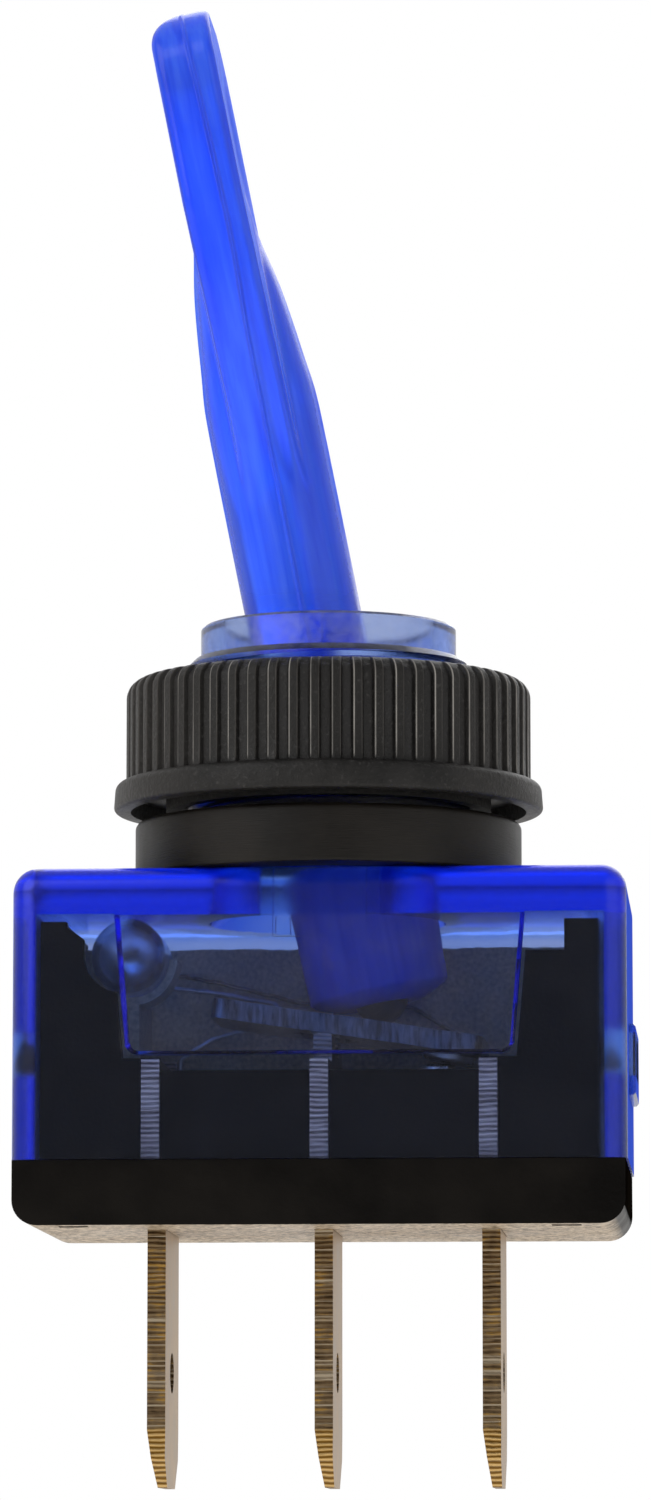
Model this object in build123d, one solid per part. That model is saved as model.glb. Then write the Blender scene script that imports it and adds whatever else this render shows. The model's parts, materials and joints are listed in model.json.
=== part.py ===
from build123d import *
import math
import os

# Illuminated duckbill toggle switch for a panel: a lever of clear blue plastic in a threaded bushing, a blue
# cover moulded in one with the bushing, a black base with three push-on blades, and the works inside.
# Millimetres and degrees. The origin is on the bushing's axis at the collar's top face, where the panel
# seats. +Z points up out of the panel, the lever swings along X, and the blades stand in a row along X.

# ---- driving dimensions ----
# lever's swing
LEVER_TILT = 11.3           # each side of upright; the part is drawn with the lever's tip toward -X
PIVOT_Z = 3.85              # height of the trunnions above the panel seat
ROCKER_TILT = 8.6           # each side of level; drawn with its +X end down

# bushing
THREAD_D = 12.7             # half-inch panel hole
PILOT_D = 11.5              # plain tip above the thread
PILOT_H = 1.5
BUSHING_TOP = 8.9           # above the panel seat
PILOT_EDGE = 0.12           # chamfer at the tip's rim
BORE_D = 9.4
BORE_MOUTH_D = 10.5         # the bore opens out to this at the cover's ceiling
BORE_MOUTH_START_Z = -2.2

# spacer collar under the panel
COLLAR_D = 17.35
COLLAR_H = 2.6
COLLAR_EDGE = 0.3
COLLAR_CLEAR = 0.12         # on radius, over the thread

# ring nut over the panel
NUT_GRIP_D = 18.2
NUT_H = 5.93
NUT_EDGE_R = 0.8            # rounded upper edge
NUT_FLANGE_D = 19.3
NUT_FLANGE_H = 1.3
NUT_FLANGE_EDGE = 0.45
NUT_RIM_W = 0.75            # flat foot at the flange's edge, which bears on the panel
NUT_HOLLOW_DEPTH = 0.8      # recess inside that foot
NUT_COLLAR_WALL = 0.9       # wall round the thread inside the recess
NUT_REST_GAP = 0.52         # above the collar, with no panel clamped
NUT_THREAD_CLEAR = 0.06     # on radius
NUT_FLUTES = 60
NUT_FLUTE_DEPTH = 0.2
NUT_CREST_W = 0.16          # land left between two flutes

# cover
COVER_L = 27.0              # along X
COVER_W = 14.6              # along Y
COVER_H = 12.9
COVER_TOP_WALL = 2.05
COVER_END_WALL = 1.05
COVER_SIDE_WALL = 1.2
COVER_EDGE_R = 1.1
PAD_TOP_W = 18.1            # window pad, a raised panel inside the front wall
PAD_BOTTOM_W = 17.0
PAD_H = 6.2
PAD_T = 0.9
PAD_CORNER_R = 0.6
PAD_EDGE = 0.2              # bevel round its inner face
PAD_CLEAR = 0.15

# catches, which hold cover and base together at both ends
CATCH_W = 5.0
CATCH_H = 1.6
CATCH_TOP_BELOW_CEILING = 5.2
CATCH_INSET = 0.1           # its tip, inside the cover's end face
CATCH_CLEAR = 0.15
BOSS_PROUD = 0.3            # raised rim round the catch's window, outside the end wall
BOSS_TOP = 0.35             # rim above the window
BOSS_FOOT = 0.9             # and below it
BOSS_SIDE = 0.8
BOSS_EDGE = 0.12

# base
BASE_INSET = 0.1            # plate's sides inside the cover's
BASE_PLATE_H = 2.85
BASE_EDGE_R = 1.1
BASE_FLOOR_H = 1.2          # raised floor above the plate
BASE_WALL = 1.0
BASE_FIT = 0.2              # walls to cover, along X
BASE_FIT_Y = 0.1            # walls to cover, along Y
WALL_GAP = 0.33             # top of the end posts to the ceiling
REAR_WALL_GAP = 0.65
SHOULDER_DROP = 1.7         # step beside the window pad, below the ceiling
SHOULDER_W = 1.55
SILL_Z_BELOW_PAD = 0.7      # the window's sill between the outer blades
FOOT_POCKET_L = 1.3         # moulding pocket under each end
FOOT_POCKET_W = 0.9
FOOT_POCKET_DEPTH = 0.6
FOOT_POCKET_INSET = 2.6

# blade terminals, quarter-inch push-on
BLADE_PITCH = 7.4
BLADE_T = 0.81
BLADE_W = 6.35
BLADE_EXPOSED = 11.3
BLADE_TIP_L = 2.5           # length of the tip's lead-in
BLADE_TIP_T = 0.42
BLADE_TIP_SHIFT = 0.17       # toward +X: the -X face slopes in more than the +X face
BLADE_TIP_CHAMFER = 1.3
BLADE_HOLE_D = 1.8
BLADE_HOLE_FROM_TIP = 5.1
PLATE_TOP_BELOW_PAD = 0.2   # wide inner plate's top edge, below the pad's lower edge
TERMINAL_SLOT_CLEAR = 0.03
TONGUE_L = 3.4              # inward tongue of the outer terminals
TONGUE_W = 4.4
TONGUE_DROP = 0.35          # its top face below the plate's top edge
TAB_W = 1.6                 # upright tab for the lamp's lead, at the back
TAB_H = 0.6
TAB_Y = 4.0

# rocker
ROCKER_T = 0.85
ROCKER_W = 6.0
ROCKER_LEFT = 5.05          # from the fulcrum
ROCKER_RIGHT = 7.0
FULCRUM_BELOW_PIVOT = 13.55
ROCKER_EDGE_W = 0.6         # strip left outside each of its two slots
EAR_W = 0.6                 # ears of the supply terminal, which stand in those slots
EAR_RISE = 0.95
EAR_CLEAR = 0.14
DISH_CLEAR = 0.04           # under the plunger's tip
DISH_WALL = 0.5
BUTTON_D = 2.6
BUTTON_H = 0.35
BUTTON_FROM_END = 1.45
LOAD_BUTTON_D = 2.2
LOAD_BUTTON_DOME_R = 3.0
BUTTON_TOUCH = 0.02         # between the two buttons, at rest
RIDGE_SLOPE = 14.0          # fall of the fulcrum's two faces, more than the rocker's tilt
RIDGE_R = 0.3               # rounding of the ridge between them
FULCRUM_TOUCH = 0.01
SHANK_D = 1.2

# lever
SHAFT_D = 5.2
TRUNNION_D = 4.0
TRUNNION_SPAN = 10.7
TRUNNION_CLEAR = 0.05
TRUNNION_END_CLEAR = 0.15
BARREL_D = 6.5
BARREL_START = 6.2          # distances along the lever, from the trunnions
BARREL_NECK = 4.0
BARREL_END = 11.8
NOSE_END = 12.35
NOSE_D = 4.0
PADDLE_W = 9.0
PADDLE_T = 2.78
PADDLE_SHIFT = -0.12        # the paddle's middle plane lies this far from the shaft's axis, along X
PADDLE_LENGTH = 33.85
PADDLE_FULL_W_AT = 24.5
WING_START = 9.5
BULGE_START = 15.6
BULGE_END = 24.2
TIP_EDGE_R = 0.6
TIP_CORNER_R = 3.2
SCOOP_DEPTH = 0.3
SCOOP_W = 5.6
SCOOP_START = 24.6
SCOOP_END = 32.0

# plunger and its spring
PLUNGER_D = 2.4
PLUNGER_CLEAR = 0.05
PLUNGER_L = 4.6
PLUNGER_TOUCH = 0.03        # between tip and rocker, at rest
SPRING_WIRE = 0.3
SPRING_D = 2.2
SPRING_L = 4.2
SPRING_TURNS = 6

# lamp
LAMP_D = 3.3
LAMP_L = 5.6
LAMP_FROM_END = 3.87        # lamp's axis to the cover's end wall
LAMP_BELOW_CEILING = 1.68
LAMP_WALL = 0.3
LAMP_FRONT_GAP = 0.12       # dome to window pad
LAMP_SEAL_L = 0.9
BEAD_D = 1.4
BEAD_L = 0.8
LEAD_D = 0.2
LEAD_SPREAD = 0.8
CRADLE_WALL = 0.35
CRADLE_CLEAR = 0.04
CRADLE_L = 2.4
CRADLE_WEB = 0.75
CRADLE_WEB_FROM_BLADE = 1.2 # web's middle, outside the ground blade's

# ---- levels and places worked out from those ----
PANEL_SEAT_Z = 0.0
COVER_TOP_Z = PANEL_SEAT_Z - COLLAR_H
CEILING_Z = COVER_TOP_Z - COVER_TOP_WALL
COVER_BOTTOM_Z = COVER_TOP_Z - COVER_H
BASE_BOTTOM_Z = COVER_BOTTOM_Z - BASE_PLATE_H
BASE_FLOOR_Z = COVER_BOTTOM_Z + BASE_FLOOR_H
BLADE_TIP_Z = BASE_BOTTOM_Z - BLADE_EXPOSED
PAD_BOTTOM_Z = CEILING_Z - PAD_H
PLATE_TOP_Z = PAD_BOTTOM_Z - PLATE_TOP_BELOW_PAD
SILL_Z = PAD_BOTTOM_Z - SILL_Z_BELOW_PAD
FULCRUM_Z = PIVOT_Z - FULCRUM_BELOW_PIVOT
CAVITY_X = COVER_L / 2 - COVER_END_WALL
CAVITY_Y = COVER_W / 2 - COVER_SIDE_WALL
BASE_L = COVER_L - 2 * BASE_INSET
BASE_W = COVER_W - 2 * BASE_INSET
WALL_X = CAVITY_X - BASE_FIT
WALL_Y = CAVITY_Y - BASE_FIT_Y
LAMP_X = -CAVITY_X + LAMP_FROM_END
LAMP_Z = CEILING_Z - LAMP_BELOW_CEILING
LAMP_FRONT_Y = -CAVITY_Y + PAD_T + LAMP_FRONT_GAP
LAMP_BACK_Y = LAMP_FRONT_Y + LAMP_L
NUT_BOTTOM_Z = PANEL_SEAT_Z + NUT_REST_GAP
PLUNGER_R = PLUNGER_D / 2
TILT_SUM = math.radians(LEVER_TILT + ROCKER_TILT)
# the plunger's tip touches the tilted rocker, so its centre lies this far along the lever
TIP_CENTRE = (
    FULCRUM_BELOW_PIVOT * math.cos(math.radians(ROCKER_TILT)) - ROCKER_T - PLUNGER_R - PLUNGER_TOUCH
) / math.cos(TILT_SUM)


def box_between(x0, x1, y0, y1, z0, z1):
    """A box from its lowest to its highest corner."""
    centre = Pos((x0 + x1) / 2, (y0 + y1) / 2, (z0 + z1) / 2)
    return centre * Box(x1 - x0, y1 - y0, z1 - z0)


def rod_y(diameter, x, z, y0, y1):
    """A round rod along Y."""
    return Pos(x, (y0 + y1) / 2, z) * Rot(90, 0, 0) * Cylinder(diameter / 2, y1 - y0)


def revolved(points):
    """A turned shape from its half section, given as (radius, height) points."""
    section = make_face(Plane.XZ * Polyline(*points, close=True))
    return revolve(section, Axis.Z)


def plate_xz(points, y0, y1):
    """A flat plate with an outline of (x, z) points, from y0 to y1."""
    outline = make_face(Plane.XZ * Polyline(*points, close=True))
    return Pos(0, (y0 + y1) / 2, 0) * extrude(outline, amount=(y1 - y0) / 2, both=True)


def plate_yz(points, x0, x1):
    """A flat plate with an outline of (y, z) points, from x0 to x1."""
    outline = make_face(Plane.YZ * Polyline(*points, close=True))
    return Pos((x0 + x1) / 2, 0, 0) * extrude(outline, amount=(x1 - x0) / 2, both=True)


def mirrored_y(shape):
    return mirror(shape, Plane.XZ)


def on_lever(shape):
    """Carries a shape drawn about an upright lever's trunnions to the tilted lever's place."""
    return Pos(0, 0, PIVOT_Z) * Rot(0, -LEVER_TILT, 0) * shape


def on_rocker(shape):
    """Carries a shape drawn about a level rocker's fulcrum to the tilted rocker's place."""
    return Pos(0, 0, FULCRUM_Z) * Rot(0, ROCKER_TILT, 0) * shape


def wire(points, bend):
    """A round lead along straight runs, with each corner bent to a radius."""
    path = FilletPolyline(*points, radius=bend)
    start = path @ 0
    heading = path % 0
    return sweep(Plane(origin=start, z_dir=heading) * Circle(LEAD_D / 2), path)


# ---- cover and bushing ----
def trunnion_slots():
    """The two slots that the trunnions rise into: narrow at the ends, wider near the bore, round on top."""
    radius = TRUNNION_D / 2 + TRUNNION_CLEAR
    reach = TRUNNION_SPAN / 2 + TRUNNION_END_CLEAR
    slot = box_between(-radius, radius, -reach, reach, CEILING_Z - 1, PIVOT_Z)
    slot += rod_y(2 * radius, 0, PIVOT_Z, -reach, reach)
    relief_half_w = radius + 0.6
    relief_reach = BORE_D / 2 + 0.25
    relief = Box(2 * relief_half_w, 2 * relief_reach, COVER_TOP_WALL + 2)
    return slot + Pos(0, 0, (CEILING_Z + COVER_TOP_Z) / 2) * relief


def window_pad():
    """The raised panel inside the front wall: narrower at its foot, with rounded lower corners."""
    top, foot = PAD_TOP_W / 2, PAD_BOTTOM_W / 2
    outline = [(-top, CEILING_Z + 0.5), (top, CEILING_Z + 0.5), (foot, PAD_BOTTOM_Z), (-foot, PAD_BOTTOM_Z)]
    pad = plate_xz(outline, -CAVITY_Y - 0.5, -CAVITY_Y + PAD_T)
    corners = pad.edges().filter_by(Axis.Y).sort_by(Axis.Z)[:2]
    pad = fillet(corners, PAD_CORNER_R)
    return chamfer(pad.faces().sort_by(Axis.Y)[-1].edges(), PAD_EDGE)


def catch_span(clear):
    """Lower and upper level of a catch, with its window's clearance."""
    top = CEILING_Z - CATCH_TOP_BELOW_CEILING
    return top - CATCH_H - clear, top + clear


def catch_boss(side, half, low, high):
    """The raised rim round a catch's window."""
    inner, outer = sorted((side * (COVER_L / 2 - COVER_END_WALL / 2), side * (COVER_L / 2 + BOSS_PROUD)))
    boss = box_between(inner, outer, -half - BOSS_SIDE, half + BOSS_SIDE, low - BOSS_FOOT, high + BOSS_TOP)
    face = boss.faces().sort_by(Axis.X)[-1 if side > 0 else 0]
    return chamfer(face.edges(), BOSS_EDGE)


def housing_cover():
    body = box_between(-COVER_L / 2, COVER_L / 2, -COVER_W / 2, COVER_W / 2, COVER_BOTTOM_Z, COVER_TOP_Z)
    rounded = body.edges().filter_by(Axis.Z) + body.faces().sort_by(Axis.Z)[-1].edges()
    body = fillet(rounded, COVER_EDGE_R)
    body -= box_between(-CAVITY_X, CAVITY_X, -CAVITY_Y, CAVITY_Y, COVER_BOTTOM_Z - 1, CEILING_Z)
    pilot_z = BUSHING_TOP - PILOT_H
    thread, pilot = THREAD_D / 2, PILOT_D / 2
    body += revolved(
        [
            (0, COVER_TOP_Z - COVER_TOP_WALL / 2),
            (thread, COVER_TOP_Z - COVER_TOP_WALL / 2),
            (thread, pilot_z - 0.3),
            (thread - 0.3, pilot_z),
            (pilot, pilot_z),
            (pilot, BUSHING_TOP - PILOT_EDGE),
            (pilot - PILOT_EDGE, BUSHING_TOP),
            (0, BUSHING_TOP),
        ]
    )
    body += window_pad()
    bore, mouth = BORE_D / 2, BORE_MOUTH_D / 2
    body -= revolved(
        [
            (0, CEILING_Z - 1),
            (mouth, CEILING_Z - 1),
            (mouth, CEILING_Z),
            (bore, BORE_MOUTH_START_Z),
            (bore, BUSHING_TOP + 1),
            (0, BUSHING_TOP + 1),
        ]
    )
    body -= trunnion_slots()
    low, high = catch_span(CATCH_CLEAR)
    half = CATCH_W / 2 + CATCH_CLEAR
    for side in (-1, 1):
        body += catch_boss(side, half, low, high)
        inner, outer = sorted((side * (CAVITY_X - 0.5), side * (COVER_L / 2 + BOSS_PROUD + 0.5)))
        body -= box_between(inner, outer, -half, half, low, high)
    return body


# ---- base ----
def pad_opening():
    """The front wall's window, which the pad fills, with its lower sill between the outer blades."""
    top, foot = PAD_TOP_W / 2 + PAD_CLEAR, PAD_BOTTOM_W / 2 + PAD_CLEAR
    low = PAD_BOTTOM_Z - PAD_CLEAR
    outline = [(-top, CEILING_Z + 1), (top, CEILING_Z + 1), (top, CEILING_Z)]
    outline += [(foot, low), (-foot, low), (-top, CEILING_Z)]
    opening = plate_xz(outline, -WALL_Y - 1, -WALL_Y + BASE_WALL + 0.2)
    sill = BLADE_PITCH - BLADE_T / 2
    opening += box_between(-sill, sill, -WALL_Y - 1, -WALL_Y + BASE_WALL + 0.2, SILL_Z, CEILING_Z)
    return opening


def catch(side):
    """A wedge that slopes out downwards and ends in a flat ledge, which the cover's window hooks under."""
    low, high = catch_span(0)
    root = WALL_X - 0.3
    tip = COVER_L / 2 - CATCH_INSET
    lead_in = WALL_X + 0.15
    outline = [(root, low), (tip, low), (tip, low + 0.3), (lead_in, high), (root, high)]
    outline = [(side * x, z) for x, z in outline]
    return plate_xz(outline, -CATCH_W / 2, CATCH_W / 2)


def lamp_cradle():
    """A half-round trough that holds the lamp's back end, on a web that rises from the floor."""
    inner = LAMP_D / 2 + CRADLE_CLEAR
    outer = inner + CRADLE_WALL
    front = LAMP_BACK_Y - CRADLE_L
    back = WALL_Y - BASE_WALL / 2
    trough = rod_y(2 * outer, LAMP_X, LAMP_Z, front, LAMP_BACK_Y)
    trough -= box_between(LAMP_X - outer, LAMP_X + outer, front - 1, back + 1, LAMP_Z, LAMP_Z + outer + 1)
    web_x0 = -BLADE_PITCH - CRADLE_WEB_FROM_BLADE - CRADLE_WEB / 2
    web = box_between(web_x0, web_x0 + CRADLE_WEB, front, back, BASE_FLOOR_Z - 0.3, LAMP_Z - CRADLE_WALL)
    hollow = rod_y(2 * inner, LAMP_X, LAMP_Z, front - 1, back + 1)
    return trough + web - hollow


def terminal_slots(x):
    """The slot that one terminal is moulded into: wide in the walls and floor, blade-wide in the plate."""
    half = BLADE_T / 2 + TERMINAL_SLOT_CLEAR
    top = PLATE_TOP_Z + TERMINAL_SLOT_CLEAR
    wide = box_between(x - half, x + half, -WALL_Y - 1, WALL_Y + 1, COVER_BOTTOM_Z, top)
    blade = BLADE_W / 2 + TERMINAL_SLOT_CLEAR
    through = box_between(x - half, x + half, -blade, blade, BASE_BOTTOM_Z - 1, COVER_BOTTOM_Z + 1)
    return wide + through


def base_body():
    plate = box_between(-BASE_L / 2, BASE_L / 2, -BASE_W / 2, BASE_W / 2, BASE_BOTTOM_Z, COVER_BOTTOM_Z)
    low_ends = plate.faces().sort_by(Axis.Z)[0].edges().filter_by(Axis.Y)
    plate = fillet(low_ends, BASE_EDGE_R)
    top = CEILING_Z - WALL_GAP
    tray = box_between(-WALL_X, WALL_X, -WALL_Y, WALL_Y, COVER_BOTTOM_Z, top)
    inner_x, inner_y = WALL_X - BASE_WALL, WALL_Y - BASE_WALL
    tray -= box_between(-inner_x, inner_x, -inner_y, inner_y, BASE_FLOOR_Z, CEILING_Z)
    rear_top = CEILING_Z - REAR_WALL_GAP
    tray -= box_between(-inner_x, inner_x, inner_y - 0.2, WALL_Y + 1, rear_top, CEILING_Z)
    tray -= pad_opening()
    # the front wall steps down beside the pad, on the lamp's side round the lamp itself
    step = PAD_TOP_W / 2 + SHOULDER_W + PAD_CLEAR
    tray -= box_between(0, step, -WALL_Y - 1, -inner_y + 0.2, CEILING_Z - SHOULDER_DROP, CEILING_Z)
    lamp_half = LAMP_D / 2 + 0.15
    tray -= rod_y(2 * lamp_half, LAMP_X, LAMP_Z, -WALL_Y - 1, -inner_y + 0.2)
    rim = LAMP_X - lamp_half
    notch = [(rim, LAMP_Z), (0, LAMP_Z), (0, CEILING_Z), (rim - 0.75, CEILING_Z)]
    notch += [(rim - 0.75, top - 0.2), (rim, top - 0.75)]
    tray -= plate_xz(notch, -WALL_Y - 1, -inner_y + 0.2)
    body = plate + tray + lamp_cradle() + catch(-1) + catch(1)
    for x in (-BLADE_PITCH, 0, BLADE_PITCH):
        body -= terminal_slots(x)
    for side in (-1, 1):
        x = side * (BASE_L / 2 - FOOT_POCKET_INSET)
        body -= box_between(
            x - FOOT_POCKET_L / 2,
            x + FOOT_POCKET_L / 2,
            -BASE_W / 2 + FOOT_POCKET_W,
            -BASE_W / 2 + 2 * FOOT_POCKET_W,
            BASE_BOTTOM_Z - 1,
            BASE_BOTTOM_Z + FOOT_POCKET_DEPTH,
        )
    return body


# ---- terminals ----
def blade_sheet(x, top_points):
    """One terminal's flat sheet: the blade, the wide plate inside the base and what stands on it."""
    half, tip = BLADE_W / 2, BLADE_W / 2 - BLADE_TIP_CHAMFER
    seat, corner = COVER_BOTTOM_Z, BLADE_TIP_Z + BLADE_TIP_CHAMFER
    outline = [(-half, seat), (-half, corner), (-tip, BLADE_TIP_Z), (tip, BLADE_TIP_Z)]
    outline += [(half, corner), (half, seat), (WALL_Y, seat), (WALL_Y, PLATE_TOP_Z)]
    outline += top_points
    outline += [(-WALL_Y, PLATE_TOP_Z), (-WALL_Y, seat)]
    sheet = plate_yz(outline, x - BLADE_T / 2, x + BLADE_T / 2)
    # both faces of the tip slope in, so that the connector slides on
    lead = BLADE_TIP_Z + BLADE_TIP_L
    for side in (-1, 1):
        face, edge = side * BLADE_T / 2, BLADE_TIP_SHIFT + side * BLADE_TIP_T / 2
        wedge = [(x + face, lead), (x + edge, BLADE_TIP_Z), (x + edge, BLADE_TIP_Z - 1)]
        wedge += [(x + 2 * face, BLADE_TIP_Z - 1), (x + 2 * face, lead)]
        sheet -= plate_xz(wedge, -half - 1, half + 1)
    hole = Rot(0, 90, 0) * Cylinder(BLADE_HOLE_D / 2, 4 * BLADE_T)
    return sheet - Pos(x, 0, BLADE_TIP_Z + BLADE_HOLE_FROM_TIP) * hole


def dish_path_z(x):
    """Height of the plunger tip's centre above the rocker's underside when it is x from the fulcrum."""
    low = FULCRUM_BELOW_PIVOT - TIP_CENTRE
    high = FULCRUM_BELOW_PIVOT * math.cos(math.radians(ROCKER_TILT)) - TIP_CENTRE * math.cos(TILT_SUM)
    end = TIP_CENTRE * math.sin(TILT_SUM) - FULCRUM_BELOW_PIVOT * math.sin(math.radians(ROCKER_TILT))
    return low + (high - low) * (x / end) ** 2


def dish_ring(radius):
    """The ring that the plunger's tip sweeps over the rocker, as a torus lying across the rocker's length."""
    end = TIP_CENTRE * math.sin(TILT_SUM) - FULCRUM_BELOW_PIVOT * math.sin(math.radians(ROCKER_TILT))
    low, rise = dish_path_z(0), dish_path_z(end) - dish_path_z(0)
    arc = (end ** 2 + rise ** 2) / (2 * rise)
    return Pos(0, 0, low + arc) * Rot(90, 0, 0) * Torus(arc, radius)


def dish_half_width():
    """Half width, on the rocker's underside, of the bulge that the pressed dish makes there."""
    radius = PLUNGER_R + DISH_CLEAR + DISH_WALL
    return math.sqrt(radius ** 2 - dish_path_z(0) ** 2)


def ear_span():
    """Inner and outer side of an ear, as distances from the middle plane."""
    outer = ROCKER_W / 2 - ROCKER_EDGE_W - EAR_CLEAR
    return outer - EAR_W, outer


def supply_terminal():
    """The centre terminal. The rocker tips on its top edge, round two ears and over a gap for its dish."""
    ear_in, ear_out = ear_span()
    shoulder = ROCKER_W / 2 + 0.3
    gap = dish_half_width() + 0.25
    gap_z = FULCRUM_Z - 0.9
    ridge_z = FULCRUM_Z - FULCRUM_TOUCH
    top = [(shoulder, PLATE_TOP_Z), (shoulder, ridge_z), (ear_out, ridge_z), (ear_out, FULCRUM_Z + EAR_RISE)]
    top += [(ear_in, FULCRUM_Z + EAR_RISE), (ear_in, ridge_z), (gap, ridge_z), (gap, gap_z)]
    top += [(-y, z) for y, z in reversed(top)]
    sheet = blade_sheet(0, top)
    fall = BLADE_T * math.tan(math.radians(RIDGE_SLOPE))
    for side in (-1, 1):
        slope = [(0, ridge_z), (side * BLADE_T, ridge_z - fall)]
        slope += [(side * BLADE_T, ridge_z + 1), (0, ridge_z + 1)]
        for y0, y1 in ((-shoulder - 1, -ear_out), (-ear_in, ear_in), (ear_out, shoulder + 1)):
            sheet -= plate_xz(slope, y0, y1)
    ridge = sheet.edges().filter_by(lambda e: abs(e.center().Z - ridge_z) < 1e-4 and abs(e.center().X) < 1e-4)
    return fillet(ridge.filter_by(Axis.Y), RIDGE_R)


def outer_terminal(side):
    """An outer terminal: a tongue bent inward under the rocker's end, and a tab for the lamp's lead."""
    tab_in, tab_out = TAB_Y - TAB_W / 2, TAB_Y + TAB_W / 2
    tab_top = PLATE_TOP_Z + TAB_H
    tab = [(tab_out, PLATE_TOP_Z), (tab_out, tab_top), (tab_in, tab_top), (tab_in, PLATE_TOP_Z)]
    sheet = blade_sheet(side * BLADE_PITCH, tab)
    near, far = side * BLADE_PITCH, side * (BLADE_PITCH + BLADE_T / 2 - TONGUE_L)
    x0, x1 = sorted((near, far))
    top = PLATE_TOP_Z - TONGUE_DROP
    return sheet + box_between(x0, x1, -TONGUE_W / 2, TONGUE_W / 2, top - BLADE_T, top)


# ---- rocker and buttons ----
def button_x():
    return ROCKER_RIGHT - BUTTON_FROM_END


def rocker_contact():
    half = ROCKER_W / 2
    strip = box_between(-ROCKER_LEFT, ROCKER_RIGHT, -half, half, 0, ROCKER_T)
    strip = fillet(strip.edges().filter_by(Axis.Z), 0.5)
    body_under = box_between(-ROCKER_RIGHT, ROCKER_RIGHT, -half, half, -2, ROCKER_T / 2)
    strip += dish_ring(PLUNGER_R + DISH_CLEAR + DISH_WALL) & body_under
    strip -= dish_ring(PLUNGER_R + DISH_CLEAR)
    slot_x = BLADE_T / 2 + ROCKER_T * math.sin(math.radians(ROCKER_TILT)) + EAR_CLEAR
    ear_in, ear_out = ear_span()
    for side in (-1, 1):
        y0, y1 = sorted((side * (ear_in - EAR_CLEAR), side * (ear_out + EAR_CLEAR)))
        strip -= box_between(-slot_x, slot_x, y0, y1, -1, ROCKER_T + 1)
    strip -= Pos(button_x(), 0, ROCKER_T / 2) * Cylinder(SHANK_D / 2, 2 * ROCKER_T)
    return on_rocker(strip)


def moving_contact_button():
    head = Pos(button_x(), 0, -BUTTON_H / 2) * Cylinder(BUTTON_D / 2, BUTTON_H)
    head = fillet(head.edges().sort_by(Axis.Z)[0], BUTTON_H / 2)
    shank = Pos(button_x(), 0, ROCKER_T / 2) * Cylinder(SHANK_D / 2, ROCKER_T)
    return on_rocker(head + shank)


def load_contact_button():
    """The fixed button on the load terminal's tongue, domed so that it meets the tilted moving button."""
    angle = math.radians(ROCKER_TILT)
    down = LOAD_BUTTON_DOME_R + BUTTON_TOUCH + BUTTON_H
    x = button_x() * math.cos(angle) - down * math.sin(angle)
    z = FULCRUM_Z - button_x() * math.sin(angle) - down * math.cos(angle)
    foot = PLATE_TOP_Z - TONGUE_DROP
    column = Pos(x, 0, foot + 1) * Cylinder(LOAD_BUTTON_D / 2, 2)
    return column & Pos(x, 0, z) * Sphere(LOAD_BUTTON_DOME_R)


# ---- lever ----
def paddle_outline():
    """Half outline of the wing plate across Y, from where it leaves the shaft to its rounded end."""
    half, shaft = PADDLE_W / 2, SHAFT_D / 2
    root = (shaft * 0.86, WING_START)
    middle = (shaft + 0.5, (WING_START + PADDLE_FULL_W_AT) / 2 - 1.5)
    flare = Spline(root, middle, (half, PADDLE_FULL_W_AT), tangents=[(0.02, 1), (0.0, 1)])
    side = Line((half, PADDLE_FULL_W_AT), (half, PADDLE_LENGTH - TIP_CORNER_R))
    corner = CenterArc((half - TIP_CORNER_R, PADDLE_LENGTH - TIP_CORNER_R), TIP_CORNER_R, 0, 90)
    top = Line((half - TIP_CORNER_R, PADDLE_LENGTH), (0, PADDLE_LENGTH))
    axis = Line((0, PADDLE_LENGTH), (0, WING_START))
    foot = Line((0, WING_START), root)
    return make_face(Plane.YZ * Curve([flare, side, corner, top, axis, foot]))


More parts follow.
